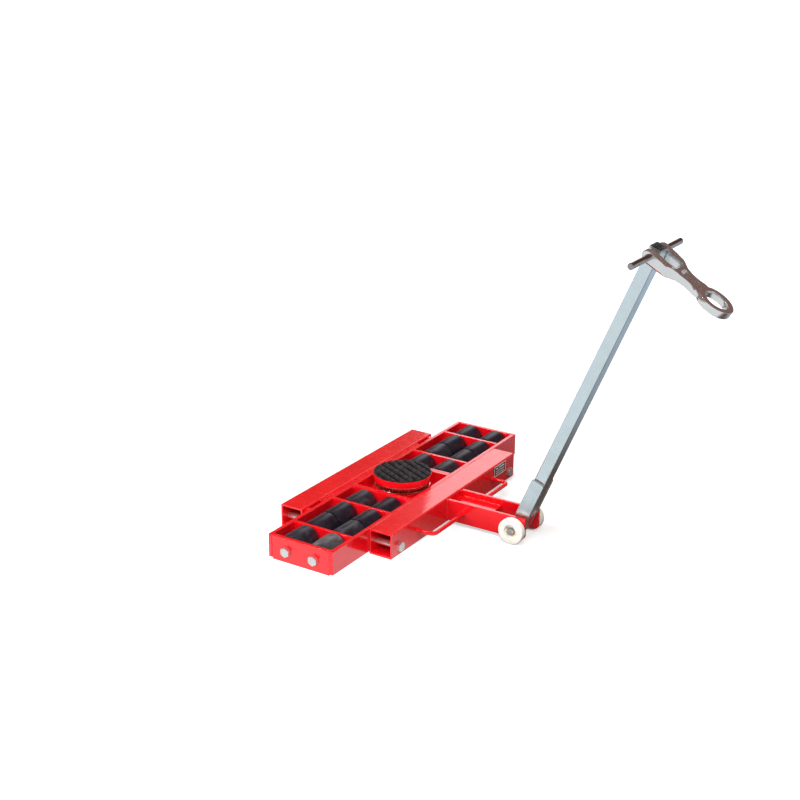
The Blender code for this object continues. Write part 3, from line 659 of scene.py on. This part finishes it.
def race(node, groove_side, body):
    """A ring with a ball groove in its upper face, or in its lower one if groove_side is -1."""
    low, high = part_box(node)
    outer = size(node).x / 2
    inner = BALL_TRACK * 2 - outer
    groove_z = box_end(node, "z", groove_side)
    profile = [(outer, low.z, 0.0012), (outer, high.z, 0.0012), (inner, high.z, 0.0012), (inner, low.z, 0.0012)]
    groove = [
        (BALL_TRACK + groove_side * 0.0057 * math.cos(a), groove_z - groove_side * 0.0024 * math.sin(a), 0)
        for a in [math.pi * k / 8 for k in range(9)]
    ]
    place = 2 if groove_side > 0 else 4
    profile[place:place] = groove
    stand_in(node, turned(bmesh.new(), fillet(profile, 3), 128), RACE, "bright_steel", body, sharp=30)


def turntable():
    race("lower_race", 1, ROOT)
    race("upper_race", -1, "turntable")
    low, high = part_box("turntable_base")
    base_top, seat_top = low.z + 0.012, high.z
    middle = Vector((TURN.x, TURN.y, (low.z + base_top) / 2))
    outline = rounded_box((high.x - low.x) / 2, (high.y - low.y) / 2, 0.002)
    bm = plate(bmesh.new(), outline, [circle(SPIGOT_HOLE)], middle, X, Y, base_top - low.z)
    seat = [
        (SPIGOT_HOLE, low.z + 0.001, 0), (0.081, low.z + 0.001, 0), (0.081, base_top + 0.0005, 0.0008),
        (0.079, base_top + 0.002, 0.002), (0.079, seat_top, 0.0012), (SPIGOT_HOLE, seat_top, 0.0006),
    ]
    painted("turntable_base", turned(bm, fillet(seat, 4), 128), weighted=True)

    low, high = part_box("ball_cage")
    middle_z = (low.z + high.z) / 2
    cage = ring_section(0.0625, 0.0800, middle_z - 0.0016, middle_z + 0.0016, 0.0005, 0.0005)
    stand_in("ball_cage", turned(bmesh.new(), cage, 128), BRONZE, "bearing_bronze", "ball_cage")
    bm = bmesh.new()
    for x, y in circle(BALL_TRACK, sides=16):
        at = Matrix.Translation((TURN.x + x, TURN.y + y, middle_z))
        bmesh.ops.create_uvsphere(bm, u_segments=24, v_segments=14, radius=0.0054, matrix=at)
    piece("thrust_balls", bm, RACE, "ball_cage", "bright_steel", sharp=80)

    low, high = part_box("turntable_disc")
    pad_low, pad_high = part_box("load_pad")
    pad_radius, disc_radius = (pad_high.x - pad_low.x) / 2, (high.x - low.x) / 2
    under = box_end("upper_race", "z", 1) + CAD_GAP
    seat_radius, seat_z = pad_radius + 0.0002, pad_low.z - 0.0002
    profile = [
        (GREASE_HOLE, low.z, 0.0006), (0.015, low.z, 0.001), (0.015, under, 0.0006), (disc_radius, under, 0.0016),
        (disc_radius, high.z, 0.0006), (seat_radius, high.z, 0.0003), (seat_radius, seat_z, 0),
        (GREASE_HOLE, seat_z, 0),
    ]
    bm = turned(bmesh.new(), fillet(profile, 4), 144)
    stand_in("turntable_disc", bm, RED, "red_paint", "turntable", sharp=30)

    low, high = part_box("spigot_collar")
    collar = ring_section(0.0153, (high.x - low.x) / 2, low.z, high.z, 0.0005, 0.001, 3)
    bm = turned(bmesh.new(), collar, 72)
    stand_in("spigot_collar", bm, BRIGHT, "bright_steel", "turntable", sharp=30)
    load_pad(pad_radius, pad_low.z, pad_high.z)


def clipped(polygon, radius, sides=72):
    """A convex polygon cut by a circle round the origin."""
    for k in range(sides):
        angle = 2 * math.pi * k / sides
        way = Vector((math.cos(angle), math.sin(angle)))
        kept = []
        for i, point in enumerate(polygon):
            before = polygon[i - 1]
            inside, was_inside = point.dot(way) <= radius, before.dot(way) <= radius
            if inside != was_inside:
                share = (radius - before.dot(way)) / (point - before).dot(way)
                kept.append(before.lerp(point, share))
            if inside:
                kept.append(point)
        polygon = kept
        if len(polygon) < 3:
            return []
    spaced = [p for i, p in enumerate(polygon) if (p - polygon[i - 1]).length > 0.0002]
    return spaced if len(spaced) > 2 else []


def raised_block(bm, foot, levels):
    """A block on the pad, if any foot is left. Its levels are (inset, height), from its foot to its flat top."""
    if not foot:
        return
    heart = sum(foot, Vector((0, 0))) / len(foot)
    rings = []
    for inset, z in levels:
        inward = [heart + (p - heart) * max(0.1, 1 - inset / max((p - heart).length, 0.001)) for p in foot]
        rings.append([bm.verts.new((TURN.x + p.x, TURN.y + p.y, z)) for p in inward])
    bridge_rings(bm, rings)
    bm.faces.new(rings[-1])
    bm.faces.new(rings[0][::-1])


def load_pad(radius, bottom, top):
    """Moulded rubber: skewed raised blocks in rows, with a low rib under each row, on a round sheet."""
    floor = top - 0.0036
    sheet = [(0, bottom, 0), (radius, bottom, 0.0004), (radius, floor, 0.0005), (0, floor, 0)]
    bm = turned(bmesh.new(), fillet(sheet, 3), 144)
    along = Vector((0.9, -0.44)).normalized()
    across = Vector((0.1, -1)).normalized()
    pitch_along, pitch_across = 0.0262, 0.0236
    wide, narrow = 0.0070, 0.0024  # the grooves between rows and between the blocks of a row
    step_a = along * pitch_along
    step_b = across * pitch_across / abs(along.x * across.y - along.y * across.x)
    half_a, half_b = step_a * (1 - narrow / pitch_along) / 2, step_b * (1 - wide / pitch_across) / 2
    shift = Vector((0.006, 0.004))
    rib_levels = ((0.0, floor - 0.0004), (0.0004, top - 0.0018), (0.0012, top - 0.0014))
    block_levels = ((0.0, top - 0.0022), (0.0004, top - 0.0008), (0.0010, top - 0.00025), (0.0018, top))

    def slanted(middle, a, b):
        return [middle - a - b, middle + a - b, middle + a + b, middle - a + b]

    cells = range(-9, 10)
    for j in cells:
        rib = slanted(step_b * j + shift, along * radius * 1.5, half_b)
        raised_block(bm, clipped(rib, radius - 0.0006), rib_levels)
    for i in cells:
        for j in cells:
            block = slanted(step_a * i + step_b * j + shift, half_a, half_b)
            raised_block(bm, clipped(block, radius - 0.0004), block_levels)
    stand_in("load_pad", bm, RUBBER, "pad_rubber", "turntable", sharp=50)


# ---------------------------------------------------------------- square tubes
TUBE_WALL = 0.0055


def tube_outlines(half_width, half_height, wall, outer_radius, inner_radius):
    inner = rounded_box(half_width - wall, half_height - wall, inner_radius, 6)
    return rounded_box(half_width, half_height, outer_radius, 6), inner


def tubes():
    for row, out in (("front", 1), ("rear", -1)):
        node = f"{row}_tube"
        low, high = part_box(node)
        outlines = tube_outlines((high.x - low.x) / 2, (high.z - low.z) / 2, TUBE_WALL, 0.0042, 0.002)
        origin = Vector(((low.x + high.x) / 2, 0, (low.z + high.z) / 2))
        bm = hollow_bar(bmesh.new(), *outlines, origin, X, Z, Y, low.y, high.y)
        painted(node, bm, sharp=50, weighted=True)
        for side in SIDES:
            headed_pin(f"coupling_pin_{row}_{side}", "x", out, box_end(node, "x", out), 48)
    painted("rear_packer", softened("rear_packer", 0.0012, 2), weighted=True)
    low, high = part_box("rear_packer")
    tab, z = 0.0695, 0.0742  # the length of an end tab, and the height of the seams
    for x, radius in ((low.x + 0.001, 0.0024), (high.x - 0.0008, 0.0020)):
        welds.bead((x, low.y + tab, z), (x, high.y - tab, z), radius, 0.0036)
    tube_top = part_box("rear_tube")[1]
    welds.spatter((tube_top.x - 0.02, low.y + 0.01, tube_top.z), (tube_top.x - 0.004, low.y + 0.09, tube_top.z), 5)
    low, seam_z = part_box("front_tube")[0], box_end("side_plate_front", "z", 1) - 0.0012
    for start, end in ((low.y + 0.02, low.y + 0.11), (-0.20, 0.20), (0.24, 0.33)):
        welds.bead((low.x + 0.0006, start, seam_z), (low.x + 0.0006, end, seam_z), 0.0022, 0.0036)


# ---------------------------------------------------------------- arms, handles and support wheels
HUB_BORE = 0.0094  # washers and cheeks clear the pivot axle
PIVOT_RADIUS = 0.009
HUB_RECESS = 0.0070


def arms():
    tube_face = box_end("front_tube", "x", 1)
    web_low, web_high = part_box("arm_web_plate")
    for side, sign in SIDES.items():
        node = f"arm_{side}"
        low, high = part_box(node)
        painted(node, softened(node, 0.0014), weighted=True)
        for way in (-1, 1):
            at = Vector((tube_face + 0.0006, box_end(node, "y", way) + way * 0.0006, 0))
            welds.bead(at + Z * (low.z + 0.001), at + Z * (high.z - 0.0005), 0.0026, 0.0036)
        inside = box_end(node, "y", -sign) - sign * 0.0005
        welds.bead((tube_face + 0.004, inside, web_high.z), (web_high.x - 0.002, inside, web_high.z), 0.0022, 0.0034)
        handle(side, sign)
    painted("arm_web_plate", softened("arm_web_plate", 0.0012), weighted=True)
    x, z = tube_face + 0.0005, web_high.z
    welds.bead((x, web_low.y + 0.004, z), (x, web_high.y - 0.004, z), 0.0024, 0.0034)


def handle(side, sign):
    """A bent round bar, from the front tube's face to the arm's outer face."""
    node = f"handle_{side}"
    low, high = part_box(node)
    radius, z = (high.z - low.z) / 2, (low.z + high.z) / 2
    leg_y, arm_y = box_end(node, "y", sign) - sign * radius, box_end(node, "y", -sign)
    run_x = high.x - radius
    bend = 0.016
    corner = Vector((run_x - bend, leg_y - sign * bend, z))
    arc = [corner + bend * Vector((math.sin(a), sign * math.cos(a), 0)) for a in
           [math.radians(90 * k / 14) for k in range(15)]]
    start, end = Vector((low.x - 0.001, leg_y, z)), Vector((run_x, arm_y - sign * 0.001, z))
    points = [start.lerp(arc[0], k / 6) for k in range(6)] + arc + [arc[-1].lerp(end, k / 10) for k in range(1, 11)]
    painted(node, sweep(bmesh.new(), points, [radius] * len(points), 28), sharp=60)
    welds.round_seam(Vector((low.x + 0.0004, leg_y, z)), X, radius + 0.0004, 0.0019)
    welds.round_seam(Vector((run_x, arm_y + sign * 0.0002, z)), Y, radius + 0.0004, 0.0019)


def running_gear():
    for side, sign in SIDES.items():
        node, arm = f"support_wheel_{side}", f"arm_{side}"
        low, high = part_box(node)
        radius, width = (high.z - low.z) / 2, high.y - low.y
        profile = [
            (HUB_BORE, 0, 0), (0.017, 0, 0), (0.018, 0.0006, 0), (radius - 0.004, 0.0006, 0),
            (radius, 0.0006, 0.0030), (radius, width, 0.0030), (0.0195, width, 0.0014),
            (0.0185, width - HUB_RECESS, 0.0018), (HUB_BORE, width - HUB_RECESS, 0),
        ]
        wheel_y = box_end(node, "y", -sign)
        outer_arm, inner_arm = box_end(arm, "y", sign), box_end(arm, "y", -sign)
        bm = lathe(bmesh.new(), fillet(profile, 5), on_pivot(wheel_y), Y * sign, 120)
        stand_in(node, bm, NYLON, "white_nylon", node, sharp=45)
        washers = bmesh.new()
        hub_washer = ring_section(HUB_BORE, 0.0122, 0, 0.0010, 0.0002, 0.0003)
        lathe(washers, hub_washer, on_pivot(sign * (abs(wheel_y) + 0.0131)), Y * sign, 64)
        spacer = ring_section(HUB_BORE, 0.0145, 0, abs(wheel_y) - abs(outer_arm) - 0.0001, 0.0002, 0.0002)
        lathe(washers, spacer, on_pivot(outer_arm), Y * sign, 64)
        cheek_washer = ring_section(HUB_BORE, 0.016, 0, 0.0042, 0.0003, 0.0005)
        lathe(washers, cheek_washer, on_pivot(inner_arm - sign * 0.0001), Y * -sign, 64)
        piece(f"hub_washers_{side}", washers, BRIGHT, ROOT, "bright_steel", sharp=35)
        split_pin(f"split_pin_{side}")
    axle_low, axle_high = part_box("pivot_axle")
    bm = bar(bmesh.new(), on_pivot(axle_low.y), on_pivot(axle_high.y), PIVOT_RADIUS, 0.0012, 56)
    stand_in("pivot_axle", bm, AXLE_STEEL, "bright_steel", sharp=25)


def on_pivot(y):
    return Vector((PIVOT.x, y, PIVOT.z))


def split_pin(node):
    """One wire: a leg, the eye, and the other leg. Both legs pass through the axle, and their ends are spread."""
    low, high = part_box(node)
    middle = (low + high) / 2
    lean = Vector((high.x - low.x, 0, low.z - high.z)).normalized()
    across = lean.cross(Y).normalized()
    wire, eye_radius = 0.00085, 0.0026
    eye = middle - lean * (PIVOT_RADIUS + 0.0042)

    def leg(side, places):
        """Points of (beyond the axle's radius along the pin, away from its middle)."""
        return [middle + lean * (PIVOT_RADIUS + beyond) + across * side * away for beyond, away in places]

    points = leg(1, ((0.0052, 0.0062), (0.0030, 0.0030), (0.0008, 0.0011), (-PIVOT_RADIUS, wire)))
    points.append(middle - lean * (PIVOT_RADIUS + 0.0008) + across * wire)
    for angle in [math.radians(-150 + 300 * k / 12) for k in range(13)]:
        points.append(eye - lean * eye_radius * math.cos(angle) - across * eye_radius * math.sin(angle))
    points.append(middle - lean * (PIVOT_RADIUS + 0.0008) - across * wire)
    points += leg(-1, ((-PIVOT_RADIUS, wire), (0.0008, 0.0011), (0.0028, 0.0030), (0.0042, 0.0052)))
    curved = smooth_path(points, 4)
    stand_in(node, sweep(bmesh.new(), curved, [wire] * len(curved), 12), YELLOW, "yellow_zinc", sharp=60)


def smooth_path(points, steps):
    """The points of a Catmull-Rom curve through the given ones."""
    path = []
    padded = [points[0]] + points + [points[-1]]
    for a, b, c, d in zip(padded, padded[1:], padded[2:], padded[3:]):
        for t in [k / steps for k in range(steps)]:
            squared, cubed = (2 * a - 5 * b + 4 * c - d) * t ** 2, (3 * b - a - 3 * c + d) * t ** 3
            path.append(0.5 * ((2 * b) + (c - a) * t + squared + cubed))
    return path + [points[-1]]


def data_plate():
    """A blank plate: a printed frame, plain bars where a real one has its text, and four rivets."""
    low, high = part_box("data_plate")
    middle, face = (low + high) / 2, high.x
    half_w, half_h = (high.y - low.y) / 2, (high.z - low.z) / 2
    outline = rounded_box(half_w, half_h, 0.002)
    bm = plate(bmesh.new(), outline, [], middle, Y, Z, high.x - low.x, 0.0002)
    rivet = [(0, 0), (0.0014, 0), (0.0012, 0.0004), (0.0006, 0.0007), (0, 0.0007)]
    for y, z in ((-1, -1), (1, -1), (1, 1), (-1, 1)):
        at = middle + Vector((face - middle.x - 0.0001, y * (half_w - 0.0035), z * (half_h - 0.0035)))
        lathe(bm, rivet, at, X, 20)
    stand_in("data_plate", bm, PLATE, "data_plate", sharp=35)
    edge_y, edge_z, line = half_w - 0.0006, half_h - 0.0006, 0.0026
    strips = [(-edge_y, edge_y, z, z + line) for z in (-edge_z, edge_z - line)]
    strips += [(y, y + line, -edge_z + line, edge_z - line) for y in (-edge_y, edge_y - line)]
    strips += [(start, end, 0.0056, 0.0092) for start, end in ((-0.027, -0.012), (-0.006, 0.026))]
    strips += [(-0.026, 0.026, z, z + 0.0022) for z in (-0.0022, -0.0096)]
    bm = bmesh.new()
    for y0, y1, z0, z1 in strips:
        strip(bm, face, middle, [(y0, z0), (y1, z0), (y1, z1), (y0, z1)])
    piece("data_plate_print", bm, PRINT, ROOT, "data_plate", sharp=30)


def strip(bm, face, middle, outline, ink=0.0001):
    """A printed patch that stands out of the plate's face by the ink's thickness, and goes as far in."""
    front = [bm.verts.new((face + ink, middle.y + y, middle.z + z)) for y, z in outline]
    back = [bm.verts.new((face - ink, middle.y + y, middle.z + z)) for y, z in outline]
    bridge_rings(bm, [back, front])
    bm.faces.new(front)
    bm.faces.new(back[::-1])


# ---------------------------------------------------------------- drawbar and towing eye
def reach(node, way, origin):
    """How far a node's mesh reaches along a direction from origin: (least, most)."""
    lengths = [(v.co - origin).dot(way) for v in frame["nodes"][node].data.vertices]
    return min(lengths), max(lengths)


def drawbar():
    back, front = reach("drawbar_tube", FORWARD, PIVOT)
    foot, top = reach("drawbar_tube", ALONG, PIVOT)
    right, left = reach("drawbar_tube", Y, PIVOT)
    depth, width = (front - back) / 2, (left - right) / 2
    origin = PIVOT + FORWARD * (front + back) / 2
    outlines = tube_outlines(width, depth, 0.003, 0.0034, 0.0012)
    bm = hollow_bar(bmesh.new(), *outlines, origin, Y, FORWARD, ALONG, foot, top, 0.0005)
    stand_in("drawbar_tube", bm, ZINC, "zinc_plate", "drawbar", sharp=50, weighted=True)
    bar_welds = Welds(8)
    for side, sign in SIDES.items():
        cheek_top = cheek(f"drawbar_cheek_{side}", sign)
        seam = PIVOT + Y * sign * (width + 0.0008)
        across = seam + ALONG * (cheek_top + 0.0004)
        bar_welds.bead(across + FORWARD * (back + 0.003), across + FORWARD * (front - 0.003), 0.0042, 0.0040)
        for edge in (back + 0.0010, front - 0.0010):
            start, end = [seam + ALONG * at + FORWARD * edge + Y * sign * 0.0004 for at in (0.03, cheek_top - 0.002)]
            bar_welds.bead(start, end, 0.0022, 0.0036)
    tbar_low, tbar_high = reach("t_bar", Y, TBAR)
    tbar_back, tbar_front = reach("t_bar", ALONG, TBAR)
    radius = (tbar_front - tbar_back) / 2
    bm = bar(bmesh.new(), TBAR + Y * tbar_low, TBAR + Y * tbar_high, radius, 0.0014, 64)
    stand_in("t_bar", bm, DARK_STEEL, "bright_steel", "drawbar", sharp=25)
    for sign in (-1, 1):
        bar_welds.round_seam(TBAR + Y * sign * (width + 0.0003), Y, radius + 0.0006, 0.0018)
    bar_welds.finish("drawbar_welds", "drawbar", ZINC, "zinc_plate")


def cheek(node, sign):
    """A cheek plate: a round foot on the axle and a square top with its corners cut. Gives the top's height."""
    back, front = reach(node, FORWARD, PIVOT)
    top = reach(node, ALONG, PIVOT)[1]
    near, far = sorted(abs(v) for v in reach(node, Y, PIVOT))
    half = (front - back) / 2
    cut, slight = 0.004, 0.0012
    outline = [
        (half, top - cut), (half - slight, top - slight), (half - cut, top),
        (cut - half, top), (slight - half, top - slight), (-half, top - cut),
    ]
    outline += [(half * math.cos(a), half * math.sin(a)) for a in [math.pi + math.pi * k / 32 for k in range(33)]]
    middle = PIVOT + Y * sign * (near + far) / 2
    bm = plate(bmesh.new(), outline, [circle(HUB_BORE)], middle, FORWARD, ALONG, far - near, 0.0009)
    stand_in(node, bm, ZINC, "zinc_plate", "drawbar", weighted=True)
    return top


def sliced(bm, axis, places):
    """Cuts the mesh across an axis, so that it can be shaped there."""
    for place in places:
        geometry = bm.verts[:] + bm.edges[:] + bm.faces[:]
        bmesh.ops.bisect_plane(bm, geom=geometry, plane_co=axis * place, plane_no=axis)


def towing_eye():
    """Forged in one piece. Its plan is drawn, rounded along every edge, then drawn down from the fork to the ring."""
    fork_outer, fork_inner, root = reach("towing_eye", Y, TBAR)[1], 0.032, 0.068
    fork_depth = reach("towing_eye", EYE_UP, TBAR)[1]
    ring_at = (RING - TBAR).length
    ring_radius, bore = reach("towing_eye", EYE_ALONG, TBAR)[1] - ring_at, 0.0326
    ring_half = (RING_TOP - RING_FOOT).length / 2
    end = -fork_depth
    waist = [
        (0.050, fork_outer), (0.066, 0.0412), (0.082, 0.0318), (0.100, 0.0270), (0.114, 0.0262), (0.126, 0.0272),
        (0.138, 0.0305),
    ]
    upper = [tuple(p) for p in smooth_path([Vector(p) for p in waist], 4)]
    ring_start = math.atan2(waist[-1][1], waist[-1][0] - ring_at)
    ring = [(ring_at + (ring_radius - 0.001) * math.cos(a), (ring_radius - 0.001) * math.sin(a)) for a in
            [ring_start - 0.12 - (2 * ring_start - 0.24) * k / 72 for k in range(73)]]
    gap = [(end, -fork_inner, 0), (root, -fork_inner, 0.014), (root, fork_inner, 0.014), (end, fork_inner, 0)]
    outline = [(end, fork_outer)] + upper + ring + [(x, -y) for x, y in reversed(upper)] + [(end, -fork_outer)]
    outline += fillet(gap, 8)
    pocket = [(0.080, -0.0150, 0.006), (0.130, -0.0150, 0.010), (0.130, 0.0150, 0.010), (0.080, 0.0150, 0.006)]
    holes = [circle(bore + 0.001, ring_at, 0, 96), fillet(pocket, 6)]
    bm = plate(bmesh.new(), outline, holes, Vector((0, 0, 0)), X, Y, fork_depth * 2, 0.0026, 3)
    sliced(bm, X, [end + 0.0008 + 0.0016 * k for k in range(13)] + [0.004 * k for k in range(1, 25)])
    cheek_middle, cheek_half = (fork_outer + fork_inner) / 2, (fork_outer - fork_inner) / 2
    levels = [cheek_middle + share * cheek_half for share in (-0.7, -0.45, -0.2, 0.05, 0.3, 0.52, 0.7)]
    sliced(bm, Y, [sign * level for level in levels for sign in (-1, 1)])
    low = ring_half / fork_depth
    taper = (
        (0.0, 1.0), (0.030, 0.93), (0.056, 0.80), (0.072, low + 0.14), (0.084, low + 0.04), (0.098, low),
        (0.112, low * 0.96),
    )
    for vert in bm.verts:
        x, y = vert.co.x, abs(vert.co.y)
        off = (y - cheek_middle) / cheek_half
        crown = 0.34 * min(1.0, max(0.0, (0.072 - x) / 0.026)) * min(1.0, off * off)
        vert.co.z *= depth_share(x, end, taper) * (1 - crown)
    flat_ring = ring_section(bore, ring_radius, -ring_half, ring_half, 0.0014, 0.0014, 3)
    lathe(bm, flat_ring, Vector((ring_at, 0, 0)), Z, 96)
    web = [(0.074, -0.020), (0.136, -0.020), (0.136, 0.020), (0.074, 0.020)]
    plate(bm, web, [], Vector((0, 0, 0)), X, Y, ring_half, 0.0005)
    bm.transform(Matrix.Translation(TBAR) @ Matrix((EYE_ALONG, Y, EYE_UP)).transposed().to_4x4())
    stand_in("towing_eye", bm, FORGED, "zinc_plate", "towing_eye", sharp=60)


def depth_share(x, end, taper):
    """How deep the forging is at x, as a share of the fork's full depth. Before 0 its end is rounded."""
    if x < 0:
        return math.sqrt(max(0.0, 1 - (x / end) ** 2)) * 0.97 + 0.03
    for (x0, share0), (x1, share1) in zip(taper, taper[1:]):
        if x < x1:
            return share0 + (share1 - share0) * ((x - x0) / (x1 - x0))
    return taper[-1][1]


# ---------------------------------------------------------------- stage, lights and camera
CAMERA_AT = Vector((1.63241, -3.17443, 1.69980))
CAMERA_DEGREES = (32.40, 20.09, 0.396)  # azimuth, how far it looks down, and roll
LENS_MM, SENSOR_MM = 62.47, 36
FLOOR_REACH = 60
BOUNCE_SPAN = 2.0  # the stops of the floor that the skate sees run from this far at -Y to as far at +Y
# bright at -Y, then a dark brown band under the skate that is painted shade of the floor there, then grey towards +Y
BOUNCE_STOPS = (
    (0.0, (0.85, 0.88, 0.90)), (0.425, (0.85, 0.88, 0.90)), (0.455, (0.40, 0.38, 0.37)), (0.485, (0.15, 0.11, 0.10)),
    (0.58, (0.10, 0.065, 0.055)), (0.68, (0.34, 0.38, 0.42)), (1.0, (0.60, 0.68, 0.80)),
)


def stage_material(name, colour, strength):
    made = bpy.data.materials.new(name)
    made.use_nodes = True
    nodes, links = made.node_tree.nodes, made.node_tree.links
    nodes.clear()
    glow = nodes.new("ShaderNodeEmission")
    glow.inputs["Color"].default_value = (*colour, 1)
    glow.inputs["Strength"].default_value = strength
    links.new(glow.outputs[0], nodes.new("ShaderNodeOutputMaterial").inputs["Surface"])
    return made


def flat_sheet(name, corners, finish):
    mesh = bpy.data.meshes.new(name)
    mesh.from_pydata(corners, [], [tuple(range(len(corners)))])
    mesh.materials.append(finish)
    sheet = linked(name, mesh)
    return sheet


def unseen(sheet):
    """A sheet that only lights the skate."""
    sheet.visible_camera = sheet.visible_shadow = sheet.visible_transmission = False
    return sheet


def mapped(nodes, links, value, low, high, to_low, to_high, curve="LINEAR"):
    span = nodes.new("ShaderNodeMapRange")
    span.interpolation_type = curve
    for socket, number in zip(RANGE_SOCKETS, (low, high, to_low, to_high)):
        span.inputs[socket].default_value = number
    links.new(value, span.inputs["Value"])
    return span.outputs["Result"]


def coordinate(nodes, links, kind, axis):
    """One coordinate of a place or a direction, as a node's output."""
    split = nodes.new("ShaderNodeSeparateXYZ")
    links.new(nodes.new("ShaderNodeTexCoord").outputs[kind], split.inputs[0])
    return split.outputs[axis]


def floor():
    """The camera sees a plain pale floor. The skate sees a glowing sheet instead: bright in front, grey behind, and
    dark brown under itself, which is painted shade of the floor there.
    """
    finish = Finish("studio_floor", (0.84, 0.84, 0.84), 0.85, Specular_IOR_Level=0.1, Emission_Strength=0.45)
    finish.shader.inputs["Emission Color"].default_value = (1, 1, 1, 1)
    square = [(x * FLOOR_REACH, y * FLOOR_REACH, 0) for x, y in ((-1, -1), (1, -1), (1, 1), (-1, 1))]
    seen = flat_sheet("floor", square, finish.material)
    seen.visible_diffuse = seen.visible_glossy = False
    glow = stage_material("floor_bounce", (1, 1, 1), 1.0)
    nodes, links = glow.node_tree.nodes, glow.node_tree.links
    across = mapped(nodes, links, coordinate(nodes, links, "Object", "Y"), -BOUNCE_SPAN, BOUNCE_SPAN, 0.0, 1.0)
    ramp = nodes.new("ShaderNodeValToRGB")
    elements = ramp.color_ramp.elements
    while len(elements) < len(BOUNCE_STOPS):
        elements.new(0.5)
    for element, (at, colour) in zip(elements, BOUNCE_STOPS):
        element.position = at
        element.color = (*colour, 1)
    links.new(across, ramp.inputs["Fac"])
    links.new(ramp.outputs["Color"], nodes["Emission"].inputs["Color"])
    unseen(flat_sheet("floor_bounce", square, glow))


def lamp(name, kind, power):
    light = bpy.data.lights.new(name, kind)
    light.energy = power
    return light, linked(name, light)


def area_light(name, place, target, width, height, power):
    light, obj = lamp(name, "AREA", power)
    light.shape = "RECTANGLE"
    light.size, light.size_y = width, height
    obj.location = place
    obj.rotation_euler = (Vector(target) - Vector(place)).to_track_quat("-Z", "Y").to_euler()
    return obj


def sky_light(strength, spread, tilt, lean):
    """A very wide soft light from above, leaning towards the faces at -Y and +X. It leaves no glare."""
    light, obj = lamp("overhead", "SUN", strength)
    light.angle = math.radians(spread)
    obj.rotation_euler = (math.radians(tilt), math.radians(lean), 0)
    obj.visible_glossy = False


def lights():
    sky_light(3.1, 55, 28, 20)
    area_light("key_front_left", (-1.5, -3.2, 1.15), (0, 0, 0.15), 2.2, 1.8, 70).visible_glossy = False
    area_light("edge_light", (-1.7, -1.3, 2.5), (0, 0, 0), 0.5, 0.4, 12)
    area_light("fill_right", (3.2, 0.3, 1.6), (0.2, 0, 0.1), 1.4, 1.6, 6)
    glow = stage_material("card_glow", (0.92, 0.97, 1), 1.6)
    unseen(flat_sheet("white_card", card_corners(8.0, 14, 30.6, 13, 40), glow)).visible_diffuse = False
    surroundings()


def surroundings():
    """White at the horizon, for low views that see past the floor's edge, and brown above."""
    world = bpy.data.worlds.new("studio")
    bpy.context.scene.world = world
    world.use_nodes = True
    nodes, links = world.node_tree.nodes, world.node_tree.links
    tint = nodes.new("ShaderNodeMix")
    tint.data_type = "RGBA"
    height = mapped(nodes, links, coordinate(nodes, links, "Generated", "Z"), 0.03, 0.20, 1.0, 0.0, "SMOOTHSTEP")
    links.new(height, tint.inputs["Factor"])
    tint.inputs["A"].default_value = (0.17, 0.075, 0.055, 1)
    tint.inputs["B"].default_value = (1, 1, 1, 1)
    links.new(tint.outputs["Result"], nodes["Background"].inputs["Color"])


def card_corners(distance, start, end, low, high):
    """An upright sheet as the skate sees it, between two azimuths from +Y towards -X and two elevations."""
    corners = []
    for azimuth, elevation in ((start, low), (end, low), (end, high), (start, high)):
        a = math.radians(azimuth)
        corners.append(TURN + distance * Vector((-math.sin(a), math.cos(a), math.tan(math.radians(elevation)))))
    return corners


def camera():
    azimuth, fall, roll = [math.radians(angle) for angle in CAMERA_DEGREES]
    level = math.cos(fall)
    ahead = Vector((-math.sin(azimuth) * level, math.cos(azimuth) * level, -math.sin(fall)))
    right = ahead.cross(Z).normalized()
    up = right.cross(ahead)
    tilted_right = right * math.cos(roll) + up * math.sin(roll)
    tilted_up = up * math.cos(roll) - right * math.sin(roll)
    lens = bpy.data.cameras.new("camera")
    lens.lens, lens.sensor_width, lens.clip_end = LENS_MM, SENSOR_MM, 200
    eye = linked("camera", lens)
    eye.matrix_world = Matrix.Translation(CAMERA_AT) @ Matrix((tilted_right, tilted_up, -ahead)).transposed().to_4x4()
    bpy.context.scene.camera = eye


cassette()
rollers()
axles()
turntable()
tubes()
arms()
running_gear()
data_plate()
drawbar()
towing_eye()
welds.finish("frame_welds", ROOT)
floor()
lights()
camera()
bpy.context.scene.view_settings.view_transform = "Standard"
